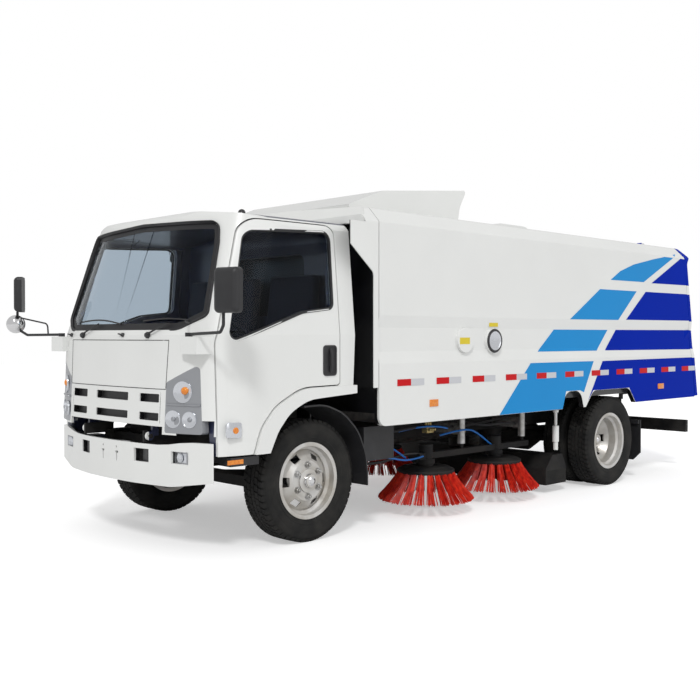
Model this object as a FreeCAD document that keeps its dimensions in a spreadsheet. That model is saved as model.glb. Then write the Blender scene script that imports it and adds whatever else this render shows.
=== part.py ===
import FreeCAD, Part
import math
import os
from types import SimpleNamespace

import Sketcher
from FreeCAD import Placement, Rotation, Vector

# A street sweeper truck: cab-over chassis, tipping sweeper body and four disc brushes.
# X runs forward, Y to the truck's left and Z up from the floor, in millimetres.
# A name that ends in Ahead or Back is a distance from the front axle, forward or rearward.
driving = {
    # Whole truck
    "wheelbase": 3815,
    "frontOverhang": 1135,
    "rearOverhang": 1725,
    "runningGap": 8,
    "seatGap": 0.3,
    # Wheels and tyres
    "tyreRadius": 430,
    "tyreWidth": 235,
    "rimRadius": 270,
    "rimWidth": 196,
    "rimWall": 9,
    "discRadius": 120,
    "twinTrack": 1652,
    "twinSpacing": 275,
    "hubRadius": 82,
    "handHoles": 6,
    # Frame
    "frameWidth": 800,
    "railDepth": 190,
    "railFlange": 70,
    "railWall": 10,
    "railTop": 760,
    "railFrontAhead": 820,
    "railRearBack": 5200,
    "crossDepth": 80,
    "crossWidth": 60,
    # Axles, springs and steering
    "beamDepth": 90,
    "beamDrop": 70,
    "kingpinTrack": 1400,
    "spindleReach": 144.5,
    "kingpinRadius": 17,
    "bossRadius": 40,
    "lugThickness": 40,
    "spindleRadius": 27,
    "axleTube": 62,
    "diffRadius": 165,
    "springWidth": 66,
    "springPack": 46,
    "frontSpringLength": 1200,
    "rearSpringLength": 1320,
    # Engines and shafts
    "engineLength": 800,
    "engineWidth": 560,
    "engineTop": 1000,
    "engineBottom": 500,
    "auxiliaryLength": 560,
    "auxiliaryWidth": 860,
    "auxiliaryHeight": 760,
    "auxiliaryFrontBack": 710,
    "shaftRadius": 36,
    # Cab
    "cabHalfWidth": 1035,
    "cabTopHalfWidth": 948,
    "cabWall": 66,
    "cabFaceAhead": 1022,
    "cabBeltAhead": 982,
    "cabTopAhead": 681,
    "cabBrowBack": 20,
    "cabBrowHalf": 657,
    "cabBrowRadius": 1100,
    "cabCornerBack": 161,
    "cabCornerIn": 50,
    "cabCheekBack": 362,
    "cabCheekRadius": 900,
    "cabBelt": 1450,
    "cabTopLevel": 2400,
    "cabRearBack": 363,
    "cabRoof": 2305,
    "cabFoot": 850,
    "cabCornerFoot": 800,
    "cabCornerRadius": 180,
    "cabFloor": 900,
    "cabRearFloor": 1100,
    "floorThickness": 40,
    "seatBoxAhead": 400,
    "tiltAxisAhead": 960,
    "tiltAxisHeight": 775,
    "tiltPinRadius": 15,
    # Mirrors
    "mirrorReach": 1410,
    "mirrorFootAhead": 935,
    "convexRadius": 72,
    # Doors and windows
    "doorFrontAhead": 826,
    "doorRearBack": 218,
    "doorBottom": 670,
    "doorTop": 2228,
    "doorPillarAhead": 580,
    "doorHingeAhead": 790,
    "doorHingeOut": 980,
    "doorHingeRadius": 5,
    "doorEaveOut": 880,
    "doorTongueReach": 540,
    "slotDepth": 40,
    "slotSheet": 10,
    "archHeight": 1027,
    "archFrontAhead": 444,
    "flareWidth": 118,
    "flareProud": 24,
    "glassThickness": 6,
    "glassInset": 12,
    # Bumper
    "bumperTop": 755,
    "bumperTopDip": 30,
    "bumperBottom": 455,
    "bumperBottomRise": 60,
    "bumperFaceAhead": 1020,
    "bumperEndAhead": 838,
    "bumperWall": 45,
    "shroudCheekBack": 234,
    # Sweeper body
    "bodyWidth": 2250,
    "bodyFrontBack": 522,
    "bodyBottom": 787,
    "bodyEave": 2275,
    "bodyRoof": 2440,
    "bodyWall": 48,
    "bodyRearBottomBack": 5470,
    "bodyRearTopBack": 5205,
    "roofChamfer": 105,
    "hopperFloor": 880,
    "hopperFloorDepth": 64,
    "hopperFrontBack": 1400,
    "bodyArchBack": 3745,
    "bodyArchLength": 910,
    "bodyArchTop": 935,
    "smallArchBack": 3078,
    "smallArchLength": 352,
    "tailBarBack": 5470,
    "towPinRadius": 16,
    "doorPinRadius": 10,
    "tipPinRadius": 18,
    "tipAxisBack": 5190,
    "tipAxisHeight": 835,
    "rearDoorDepth": 70,
    "panelRelief": 16,
    "panelReliefSlope": 88,
    "panelReliefLow": 1330,
    "panelReliefHigh": 1506,
    "bodyFrontCorner": 70,
    # Sweeping gear
    "brushFrontBack": 1500,
    "brushRearBack": 2430,
    "brushTrack": 1440,
    "brushTipRadius": 410,
    "brushRootRadius": 215,
    "brushPlateTop": 372,
    "brushPlateBottom": 330,
    "brushTip": 100,
    "tuftCount": 22,
    "nozzleFrontBack": 2900,
    "nozzleLength": 330,
    "nozzleHalfWidth": 950,
    "nozzleBottom": 80,
    "nozzleTop": 350,
    "skirtHeight": 130,
    "nozzleWall": 10,
    "ductRadius": 105,
    "ductTrack": 390,
}

doc = FreeCAD.newDocument("StreetSweeper")
sheet = doc.addObject("Spreadsheet::Sheet", "Sizes")
for row, (alias, value) in enumerate(driving.items(), start=1):
    sheet.set(f"A{row}", alias)
    sheet.set(f"B{row}", str(value))
    sheet.setAlias(f"B{row}", alias)
doc.recompute()


class Measure:
    """A length with the sheet expression that works it out."""

    def __init__(self, number, text):
        self.number = number
        self.text = text

    def __add__(self, other):
        other = measure(other)
        return Measure(self.number + other.number, f"({self.text} + {other.text})")

    def __sub__(self, other):
        other = measure(other)
        return Measure(self.number - other.number, f"({self.text} - {other.text})")

    def __mul__(self, factor):
        return Measure(self.number * factor, f"({self.text} * {factor})")

    def __truediv__(self, divisor):
        return Measure(self.number / divisor, f"({self.text} / {divisor})")

    def __neg__(self):
        return Measure(-self.number, f"(0 - {self.text})")

    def __rsub__(self, other):
        return measure(other) - self

    __radd__ = __add__
    __rmul__ = __mul__


def measure(value):
    if isinstance(value, Measure):
        return value
    return Measure(float(value), f"({value})")


size = SimpleNamespace(**{name: Measure(float(sheet.get(name)), f"Sizes.{name}") for name in driving})
frontAxle = (size.wheelbase + size.rearOverhang - size.frontOverhang) / 2
rearAxle = frontAxle - size.wheelbase
nodes = {}


def bind(target, **expressions):
    """Bind properties to sheet expressions; Placement_Base_x stands for Placement.Base.x."""
    for path, value in expressions.items():
        target.setExpression(path.replace("_", "."), measure(value).text)


def place(target, x=0, y=0, z=0, turn=None):
    if turn is not None:
        target.Placement = Placement(Vector(), turn)
    bind(target, Placement_Base_x=x, Placement_Base_y=y, Placement_Base_z=z)


def node(name, target):
    """Name a finished sub-part: its label is also its file."""
    target.Label = name
    nodes[name] = target
    return target


def outline_sketch(owner, plane, outline, name):
    sketch = owner.newObject("Sketcher::SketchObject", name)
    support = next(item for item in owner.Origin.OriginFeatures if item.Role == plane + "_Plane")
    sketch.AttachmentSupport = [(support, "")]
    sketch.MapMode = "FlatFace"
    corners = [(measure(corner[0]), measure(corner[1])) for corner in outline]
    count = len(corners)
    for index in range(count):
        start = corners[index]
        end = corners[(index + 1) % count]
        line = Part.LineSegment(
            Vector(start[0].number, start[1].number, 0), Vector(end[0].number, end[1].number, 0)
        )
        sketch.addGeometry(line)
    joins = [
        Sketcher.Constraint("Coincident", index, 2, (index + 1) % count, 1) for index in range(count)
    ]
    sketch.addConstraint(joins)
    for index, (across, along) in enumerate(corners):
        for kind, value in (("DistanceX", across), ("DistanceY", along)):
            constraint = Sketcher.Constraint(kind, -1, 1, index, 1, value.number)
            added = sketch.addConstraint(constraint)
            sketch.setExpression(f"Constraints[{added}]", value.text)
    return sketch


PLANE_AXES = {"XY": ("x", "y"), "XZ": ("x", "z"), "YZ": ("y", "z")}
PLANE_NORMAL = {"XY": "z", "XZ": "y", "YZ": "x"}


def prism(name, plane, outline, start, length):
    """A straight prism: corners are (across, along) or (across, along, rounding radius)."""
    body = doc.addObject("PartDesign::Body", name)
    sketch = outline_sketch(body, plane, outline, name + "Outline")
    pad = body.newObject("PartDesign::Pad", name + "Pad")
    pad.Profile = sketch
    pad.Reversed = plane == "XZ"
    bind(pad, Length=length)
    doc.recompute()
    last = pad
    radii = {}
    for corner in outline:
        if len(corner) == 3:
            radius = measure(corner[2])
            radii.setdefault(radius.text, (radius, []))[1].append(corner)
    for number, (radius, corners) in enumerate(radii.values()):
        names = long_edges(last.Shape, plane, corners)
        fillet = body.newObject("PartDesign::Fillet", f"{name}Round{number}")
        fillet.Base = (last, names)
        bind(fillet, Radius=radius)
        doc.recompute()
        last = fillet
    body.Tip = last
    place(body, **{PLANE_NORMAL[plane]: start})
    return body


def long_edges(shape, plane, corners):
    """Names of the edges that run along the prism at the given corners."""
    first, second = PLANE_AXES[plane]
    names = []
    for index, edge in enumerate(shape.Edges, start=1):
        ends = [vertex.Point for vertex in edge.Vertexes]
        if len(ends) != 2:
            continue
        for corner in corners:
            target = (measure(corner[0]).number, measure(corner[1]).number)
            offsets = [
                math.hypot(getattr(end, first) - target[0], getattr(end, second) - target[1])
                for end in ends
            ]
            if max(offsets) < 0.01:
                names.append(f"Edge{index}")
    return names


def box(name, low, span):
    solid = doc.addObject("Part::Box", name)
    bind(solid, Length=span[0], Width=span[1], Height=span[2])
    place(solid, *low)
    return solid


TURN_TO = {
    "X": Rotation(Vector(0, 1, 0), 90),
    "Y": Rotation(Vector(1, 0, 0), -90),
    "Z": Rotation(),
}


def cylinder(name, start, radius, length, axis="Z"):
    solid = doc.addObject("Part::Cylinder", name)
    bind(solid, Radius=radius, Height=length)
    place(solid, *start, turn=TURN_TO[axis])
    return solid


def fuse(name, *parts):
    result = doc.addObject("Part::MultiFuse", name)
    result.Shapes = list(parts)
    result.Refine = True
    return result


def cut(name, base, *tools):
    result = doc.addObject("Part::Cut", name)
    result.Base = base
    result.Tool = tools[0] if len(tools) == 1 else fuse(name + "Tools", *tools)
    return result


def common(name, *parts):
    result = doc.addObject("Part::MultiCommon", name)
    result.Shapes = list(parts)
    return result


def group(name, *parts):
    """Separate solids that share a node."""
    result = doc.addObject("Part::Compound", name)
    result.Links = list(parts)
    return result


def mirror(name, source):
    """The same piece on the truck's other side."""
    result = doc.addObject("Part::Mirroring", name)
    result.Source = source
    result.Normal = Vector(0, 1, 0)
    return result


def pair(name, source):
    return group(name, source, mirror(name + "Other", source))


def turned(body, plane, outline, name, axis):
    """A revolved feature inside a body, about the sketch's own axis."""
    sketch = outline_sketch(body, plane, outline, name + "Outline")
    feature = body.newObject("PartDesign::Revolution", name)
    feature.Profile = sketch
    feature.ReferenceAxis = (sketch, [axis])
    feature.Angle = 360
    return feature


def shape_piece(name, shape):
    result = doc.addObject("Part::Feature", name)
    result.Shape = shape
    return result


def rounded_path(corners):
    """An open wire through (x, y, z, radius) corners with tangent arcs."""
    here = Vector(*corners[0][:3])
    edges = []
    for index in range(1, len(corners)):
        corner = Vector(*corners[index][:3])
        if index == len(corners) - 1:
            edges.append(Part.LineSegment(here, corner).toShape())
            break
        radius = corners[index][3]
        before = (Vector(*corners[index - 1][:3]) - corner).normalize()
        after = (Vector(*corners[index + 1][:3]) - corner).normalize()
        half = before.getAngle(after) / 2
        reach = radius / math.tan(half)
        middle = corner + (before + after).normalize() * (radius / math.sin(half) - radius)
        edges.append(Part.LineSegment(here, corner + before * reach).toShape())
        edges.append(Part.Arc(corner + before * reach, middle, corner + after * reach).toShape())
        here = corner + after * reach
    return Part.Wire(edges)


def rounded_wire(corners):
    """A closed wire through (x, y, z, radius) corners with tangent arcs."""
    count = len(corners)
    points = [Vector(*corner[:3]) for corner in corners]
    starts, ends, middles = [], [], []
    for index in range(count):
        here = points[index]
        radius = corners[index][3]
        before = (points[index - 1] - here).normalize()
        after = (points[(index + 1) % count] - here).normalize()
        half = before.getAngle(after) / 2
        reach = radius / math.tan(half)
        starts.append(here + before * reach)
        ends.append(here + after * reach)
        bisector = (before + after).normalize()
        middles.append(here + bisector * (radius / math.sin(half) - radius))
    edges = []
    for index in range(count):
        if corners[index][3] > 0:
            edges.append(Part.Arc(starts[index], middles[index], ends[index]).toShape())
        edges.append(Part.LineSegment(ends[index], starts[(index + 1) % count]).toShape())
    return Part.Wire(edges)


# Frame, axles, springs, engines

railBottom = size.railTop - size.railDepth
halfFrame = size.frameWidth / 2
railInner = halfFrame - size.railFlange
railRear = frontAxle - size.railRearBack
railFront = frontAxle + size.railFrontAhead
wheelHeight = size.tyreRadius
frontTrack = size.kingpinTrack + size.spindleReach * 2
CROSS_STATIONS = (-720, 640, 1560, 2480, 3330, 4650, 5140)
DUCT_PLATE_BACK = 3065


def frame_rails():
    wall = size.railWall
    channel = [
        (halfFrame, railBottom),
        (halfFrame, size.railTop),
        (railInner, size.railTop),
        (railInner, size.railTop - wall),
        (halfFrame - wall, size.railTop - wall),
        (halfFrame - wall, railBottom + wall),
        (railInner, railBottom + wall),
        (railInner, railBottom),
    ]
    rail = prism("railLeft", "YZ", channel, railRear, railFront - railRear)
    web = halfFrame - wall
    pieces = [rail, mirror("railRight", rail)]
    crossTop = size.railTop - wall - 10
    for number, station in enumerate(CROSS_STATIONS):
        low = (frontAxle - station - size.crossWidth / 2, -web, crossTop - size.crossDepth)
        pieces.append(box(f"crossMember{number}", low, (size.crossWidth, web * 2, size.crossDepth)))
    plate = box(
        "ductPlate",
        (ductX - 160, -web, size.railTop - wall - 60),
        (320, web * 2, 20),
    )
    holes = []
    for side in (1, -1):
        start = (ductX, size.ductTrack * side / 2, size.railTop - 200)
        holes.append(cylinder(f"ductHole{side + 1}", start, size.ductRadius + 0.4, 300))
    pieces.append(cut("ductPlateBored", plate, *holes))
    hangerTop = railBottom
    springY = railInner + 2
    for name, centre, length, eye in (
        ("front", frontAxle, size.frontSpringLength, frontSpringEye),
        ("rear", rearAxle, size.rearSpringLength, rearSpringEye),
    ):
        for end in (1, -1):
            start = centre + length * end / 2 - 25
            for side in (1, -1):
                y = springY if side == 1 else -(springY + size.springWidth)
                hanger = box(
                    f"{name}Hanger{end + 1}{side + 1}",
                    (start, y, eye + size.seatGap),
                    (50, size.springWidth, hangerTop - eye - size.seatGap),
                )
                pieces.append(hanger)
    pivot = size.tipAxisHeight
    x = frontAxle - size.tipAxisBack
    bracket = box("tipBracket", (x - 30, halfFrame - 12, size.railTop - 20), (60, 20, pivot + 24 - size.railTop + 20))
    pin = cylinder("tipPin", (x, halfFrame - 12, pivot), size.tipPinRadius, 70, "Y")
    lug = box("barrelLug", (barrelPivot[0] - 120, 56, 550), (165, 18, 190))
    lugHole = cylinder("barrelLugHole", (barrelPivot[0], 0, barrelPivot[2]), 16.3, 100, "Y")
    tiltX = frontAxle + size.tiltAxisAhead
    hinge = box("cabHingePlate", (railFront - 60, halfFrame - 20, 735), (tiltX + 32 - railFront + 60, 20, 77))
    hingePin = cylinder("cabHingePin", (tiltX, halfFrame - 20, size.tiltAxisHeight), size.tiltPinRadius, 56, "Y")
    hoopLeg = box("cabHoopLeg", (frontAxle - 285, railInner + 8, size.railTop - 4), (60, 50, 300))
    hoop = box("cabHoop", (frontAxle - 285, -halfFrame + 12, 1040), (60, halfFrame * 2 - 24, 60 - size.seatGap))
    pieces.append(hoop)
    for piece in (bracket, pin, cut("barrelLugBored", lug, lugHole), hinge, hingePin, hoopLeg):
        pieces += [piece, mirror(piece.Name + "Right", piece)]
    return node("frame_rails", fuse("frameRails", *pieces))


ductX = frontAxle - DUCT_PLATE_BACK
beamTop = wheelHeight + 45
frontSpringEye = railBottom - 36
rearSpringEye = railBottom - 6
frontSpringSeat = beamTop - size.beamDrop


def front_axle():
    bossTop = wheelHeight + 45
    bossBottom = wheelHeight - 45
    half = size.kingpinTrack / 2
    inner = half - 150
    ledge = half - size.bossRadius - 8
    outline = [
        (-half, bossTop),
        (-ledge, bossTop),
        (-inner, bossTop - size.beamDrop, 60),
        (inner, bossTop - size.beamDrop, 60),
        (ledge, bossTop),
        (half, bossTop),
        (half, bossTop - size.beamDepth),
        (ledge, bossTop - size.beamDepth),
        (inner, bossTop - size.beamDrop - size.beamDepth, 60),
        (-inner, bossTop - size.beamDrop - size.beamDepth, 60),
        (-ledge, bossTop - size.beamDepth),
        (-half, bossTop - size.beamDepth),
    ]
    beam = prism("axleBeam", "YZ", outline, frontAxle - 35, 70)
    pieces = [beam]
    pinLength = bossTop - bossBottom + size.lugThickness * 2
    for side in (1, -1):
        y = size.kingpinTrack * side / 2
        boss = cylinder(f"axleBoss{side + 1}", (frontAxle, y, bossBottom), size.bossRadius, size.beamDepth)
        pin = cylinder(
            f"kingpin{side + 1}",
            (frontAxle, y, bossBottom - size.lugThickness),
            size.kingpinRadius,
            pinLength,
        )
        pieces += [boss, pin]
    return node("front_axle", fuse("frontAxleBeam", *pieces))


def rear_axle():
    body = doc.addObject("PartDesign::Body", "rearAxleBody")
    tube = size.axleTube
    diff = size.diffRadius
    flange = twinCentre - 190
    spindleEnd = twinCentre + 60
    spindle = measure(38)
    outline = [
        (-spindleEnd, 0),
        (-spindleEnd, spindle),
        (-flange, spindle),
        (-flange, tube + 40),
        (-flange + 30, tube + 40),
        (-flange + 30, tube),
        (-diff * 1.6, tube),
        (-diff * 0.7, diff),
        (diff * 0.7, diff),
        (diff * 1.6, tube),
        (flange - 30, tube),
        (flange - 30, tube + 40),
        (flange, tube + 40),
        (flange, spindle),
        (spindleEnd, spindle),
        (spindleEnd, 0),
    ]
    feature = turned(body, "YZ", outline, "axleHousing", "H_Axis")
    body.Tip = feature
    place(body, rearAxle, 0, wheelHeight)
    return node("rear_axle", body)


def spring_pack(name, centre, length, seat, eye):
    """One leaf pack, bowed between its two eyes and resting on the axle."""
    half = length / 2
    pack = size.springPack
    leaf = 18
    outline = [
        (centre - half, eye - leaf),
        (centre - half, eye),
        (centre - half * 0.45, seat + pack + (eye - seat - pack) * 0.3),
        (centre, seat + pack),
        (centre + half * 0.45, seat + pack + (eye - seat - pack) * 0.3),
        (centre + half, eye),
        (centre + half, eye - leaf),
        (centre + 70, seat),
        (centre - 70, seat),
    ]
    return prism(name, "XZ", outline, railInner + 2, size.springWidth)


def leaf_springs():
    front = spring_pack("frontSpring", frontAxle, size.frontSpringLength, frontSpringSeat, frontSpringEye)
    seat = wheelHeight + size.axleTube + size.seatGap
    rear = spring_pack("rearSpring", rearAxle, size.rearSpringLength, seat, rearSpringEye)
    parts = (front, mirror("frontSpringRight", front), rear, mirror("rearSpringRight", rear))
    return node("leaf_springs", group("leafSprings", *parts))


def engine_block():
    rear = frontAxle - 470
    low = (rear, -size.engineWidth / 2, size.engineBottom)
    span = (size.engineLength, size.engineWidth, size.engineTop - size.engineBottom)
    block = box("engineBlock", low, span)
    reach = halfFrame - size.railWall - size.seatGap
    mounts = box("engineMounts", (frontAxle - 80, -reach, 610), (90, reach * 2, 60))
    return node("engine_block", fuse("engineBlockMounted", block, mounts))


def drive_line():
    gearboxRear = frontAxle - 1060
    gearbox = box("gearbox", (gearboxRear, -140, 430), (590 - 0.3, 280, 200))
    start = rearAxle + size.diffRadius - 3.2
    shaftLength = gearboxRear - start
    shaft = cylinder("propShaft", (start, 0, shaftHeight), size.shaftRadius, shaftLength, "X")
    collar = cylinder("shaftFlange", (gearboxRear - 40, 0, shaftHeight), 70, 40, "X")
    return node("drive_line", fuse("driveLine", gearbox, shaft, collar))


shaftHeight = measure(500)


def radiator():
    low = (frontAxle + 560, -330, 480)
    return node("radiator", box("radiatorCore", low, (90, 660, 380)))


def fuel_tank():
    outline = [(-1000, 420, 60), (-1000, 720, 60), (-halfFrame - 8, 720, 60), (-halfFrame - 8, 420, 60)]
    tank = prism("fuelTank", "YZ", outline, frontAxle - 1010, 420)
    strap = box("fuelTankStrap", (frontAxle - 840, -halfFrame - 12, 560), (60, 12, 120))
    return node("fuel_tank", fuse("fuelTankStrapped", tank, strap))


def battery_box():
    left = box("batteryBox", (frontAxle - 940, halfFrame, 500), (330, 480, 260))
    return node("battery_box", left)


def auxiliary_engine():
    rear = frontAxle - size.auxiliaryFrontBack - size.auxiliaryLength
    low = (rear, -size.auxiliaryWidth / 2, size.railTop)
    span = (size.auxiliaryLength, size.auxiliaryWidth, size.auxiliaryHeight)
    return node("auxiliary_engine", box("auxiliaryEngine", low, span))


# Wheels

twinCentre = size.twinTrack / 2


def rim_barrel(body, name, centre):
    """Drop-centre rim, its section revolved about the axle."""
    half = size.rimWidth / 2
    seat = size.rimRadius - 18
    well = size.rimRadius - 44
    wall = size.rimWall
    outline = [
        (centre - half, size.rimRadius),
        (centre - half + 8, size.rimRadius),
        (centre - half + 12, seat),
        (centre - 48, seat - 4),
        (centre - 34, well),
        (centre + 34, well),
        (centre + 48, seat - 4),
        (centre + half - 12, seat),
        (centre + half - 8, size.rimRadius),
        (centre + half, size.rimRadius),
        (centre + half - 2, seat - wall),
        (centre + 52, seat - 4 - wall),
        (centre + 38, well - wall),
        (centre - 38, well - wall),
        (centre - 52, seat - 4 - wall),
        (centre - half + 2, seat - wall),
    ]
    return turned(body, "YZ", outline, name, "H_Axis")


def rim_disc(body, name, centre, face, barrelAt):
    """Wheel disc: from the rim's well at barrelAt to the flat mounting face."""
    wall = size.rimWall + 1
    well = size.rimRadius - 44 - size.rimWall / 2
    outline = [
        (centre + barrelAt, well),
        (centre + face, size.discRadius + 20),
        (centre + face, size.hubRadius - 10),
        (centre + face - wall, size.hubRadius - 10),
        (centre + face - wall, size.discRadius + 20),
        (centre + barrelAt - wall, well),
    ]
    return turned(body, "YZ", outline, name, "H_Axis")


def hand_holes(body, name, last):
    """Oblong holes in the disc, one pocket repeated about the axle."""
    low = size.discRadius + 35
    high = size.rimRadius - 76
    halfPitch = math.pi / size.handHoles.number
    outline = [
        (level * math.sin(halfPitch) + across * math.cos(halfPitch),
         level * math.cos(halfPitch) - across * math.sin(halfPitch))
        for across, level in ((-32, low), (32, low), (36, high), (-36, high))
    ]
    sketch = outline_sketch(body, "XZ", outline, name + "Outline")
    pocket = body.newObject("PartDesign::Pocket", name)
    pocket.Profile = sketch
    pocket.Type = 1
    pocket.Midplane = True
    pattern = body.newObject("PartDesign::PolarPattern", name + "Around")
    pattern.Originals = [pocket]
    axle = next(item for item in body.Origin.OriginFeatures if item.Role == "Y_Axis")
    pattern.Axis = (axle, [""])
    pattern.Angle = 360
    bind(pattern, Occurrences=size.handHoles)
    body.Tip = pattern
    return pattern


def tyre_section(centre):
    half = size.tyreWidth / 2
    bead = size.rimRadius - 18 + size.seatGap
    rimHalf = size.rimWidth / 2 - 15
    top = size.tyreRadius
    return [
        (centre - rimHalf, bead),
        (centre - rimHalf - 8, size.rimRadius + 4),
        (centre - half, size.rimRadius + 70),
        (centre - half + 4, top - 45),
        (centre - half + 22, top - 8),
        (centre - half + 40, top),
        (centre + half - 40, top),
        (centre + half - 22, top - 8),
        (centre + half - 4, top - 45),
        (centre + half, size.rimRadius + 70),
        (centre + rimHalf + 8, size.rimRadius + 4),
        (centre + rimHalf, bead),
    ]


def front_wheel():
    frontCentre = frontTrack / 2
    rim = doc.addObject("PartDesign::Body", "frontRimBody")
    rim_barrel(rim, "frontBarrel", measure(0))
    rim_disc(rim, "frontDisc", measure(0), 84, 20)
    hub = [
        (-45, size.spindleRadius + 0.5),
        (-45, size.hubRadius),
        (96, size.hubRadius),
        (100, size.hubRadius - 30),
        (128, size.hubRadius - 36),
        (134, 0),
        (80, 0),
        (80, size.spindleRadius + 0.5),
    ]
    turned(rim, "YZ", hub, "frontHub", "H_Axis")
    doc.recompute()
    hand_holes(rim, "frontHoles", rim)
    place(rim, frontAxle, frontCentre, wheelHeight)
    tyre = doc.addObject("PartDesign::Body", "frontTyreBody")
    turned(tyre, "YZ", tyre_section(measure(0)), "frontTyre", "H_Axis")
    place(tyre, frontAxle, frontCentre, wheelHeight)
    node("front_rim_left", rim)
    node("front_tyre_left", tyre)
    node("front_rim_right", mirror("frontRimRight", rim))
    node("front_tyre_right", mirror("frontTyreRight", tyre))


def rear_wheels():
    offset = size.twinSpacing / 2
    rims = doc.addObject("PartDesign::Body", "rearRimBody")
    rim_barrel(rims, "outerBarrel", offset)
    rim_barrel(rims, "innerBarrel", -offset)
    wall = size.rimWall + 1
    well = size.rimRadius - 44 - size.rimWall / 2
    for name, side in (("outerDisc", 1), ("innerDisc", -1)):
        outline = [
            (offset * side - 30 * side, well),
            (wall * side, size.discRadius + 45),
            (wall * side, size.hubRadius - 10),
            (0, size.hubRadius - 10),
            (0, size.discRadius + 45),
            (offset * side - 40 * side - 4 * side, well),
        ]
        turned(rims, "YZ", outline, name, "H_Axis")
    hub = [
        (-120, 38.5),
        (-120, size.hubRadius - 6),
        (78, size.hubRadius - 6),
        (84, size.hubRadius - 30),
        (112, size.hubRadius - 34),
        (116, 0),
        (62, 0),
        (62, 38.5),
    ]
    turned(rims, "YZ", hub, "rearHub", "H_Axis")
    doc.recompute()
    hand_holes(rims, "rearHoles", rims)
    place(rims, rearAxle, twinCentre, wheelHeight)
    tyres = []
    for name, centre in (("outerTyre", twinCentre + offset), ("innerTyre", twinCentre - offset)):
        tyre = doc.addObject("PartDesign::Body", name + "Body")
        turned(tyre, "YZ", tyre_section(measure(0)), name, "H_Axis")
        place(tyre, rearAxle, centre, wheelHeight)
        tyres.append(tyre)
    left = group("rearTyresLeft", *tyres)
    node("rear_rims_left", rims)
    node("rear_tyres_left", left)
    node("rear_rims_right", mirror("rearRimsRight", rims))
    node("rear_tyres_right", mirror("rearTyresRight", left))


def knuckles():
    """Steering knuckle: two lugs on the kingpin, a web and the wheel spindle."""
    y = size.kingpinTrack / 2
    half = size.beamDepth / 2
    thickness = size.lugThickness - 2
    pieces = []
    for name, z in (("lugUpper", wheelHeight + half + 2), ("lugLower", wheelHeight - half - size.lugThickness)):
        lug = cylinder(name, (frontAxle, y, z), size.bossRadius, thickness)
        arm = box(name + "Arm", (frontAxle - 38, y, z), (76, 96, thickness))
        pieces += [lug, arm]
    bottom = wheelHeight - half - size.lugThickness
    web = box("knuckleWeb", (frontAxle - 38, y + 56, bottom), (76, 40, half * 2 + size.lugThickness * 2))
    spindle = cylinder(
        "spindle", (frontAxle, y + 90, wheelHeight), size.spindleRadius, size.spindleReach - 14, "Y"
    )
    steerArm = box("steeringArm", (frontAxle - 220, y - 30, bottom), (200, 40, 26))
    joined = fuse("knuckleBlank", *pieces, web, spindle, steerArm)
    hole = cylinder(
        "kingpinHole",
        (frontAxle, y, bottom - 20),
        size.kingpinRadius + size.seatGap,
        half * 2 + size.lugThickness * 2 + 40,
    )
    left = node("knuckle_left", cut("knuckle", joined, hole))
    node("knuckle_right", mirror("knuckleRight", left))


# Cab

def drawn_in(corners, inset):
    """Clockwise closed outline of (x, y, radius) corners after each side has moved inwards by inset."""
    moved = []
    for index, (x, y, radius) in enumerate(corners):
        before = corners[index - 1]
        after = corners[(index + 1) % len(corners)]
        first = Vector(x - before[0], y - before[1]).normalize()
        last = Vector(after[0] - x, after[1] - y).normalize()
        spread = inset / (1 + first.dot(last))
        moved.append((x + (first.y + last.y) * spread, y - (first.x + last.x) * spread, max(0, radius - inset)))
    return moved


def cab_half(inset):
    """Left half of the cab: its plan outline swept down to the foot and up along the windscreen."""
    axle = frontAxle.number
    belt = size.cabBelt.number
    width = size.cabHalfWidth.number
    back = axle - size.cabRearBack.number
    front = axle + size.cabBeltAhead.number
    overlap = 60 + inset
    outline = [
        (back, -overlap, 0),
        (back, width, 0),
        (front - size.cabCheekBack.number, width, size.cabCheekRadius.number),
        (front - size.cabCornerBack.number, width - size.cabCornerIn.number, size.cabCornerRadius.number),
        (front - size.cabBrowBack.number, size.cabBrowHalf.number, size.cabBrowRadius.number),
        (front, overlap, 0),
        (front, -overlap, 0),
    ]
    plan = Part.Face(rounded_wire([(x, y, belt, radius) for x, y, radius in drawn_in(outline, inset)]))
    rise = size.cabTopLevel.number - belt
    upper = plan.extrude(
        Vector((size.cabTopAhead - size.cabBeltAhead).number, size.cabTopHalfWidth.number - width, rise)
    )
    lower = plan.extrude(
        Vector((size.cabFaceAhead - size.cabBeltAhead).number, 0, size.doorBottom.number - 60 - belt)
    )
    return upper.fuse(lower)


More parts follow.
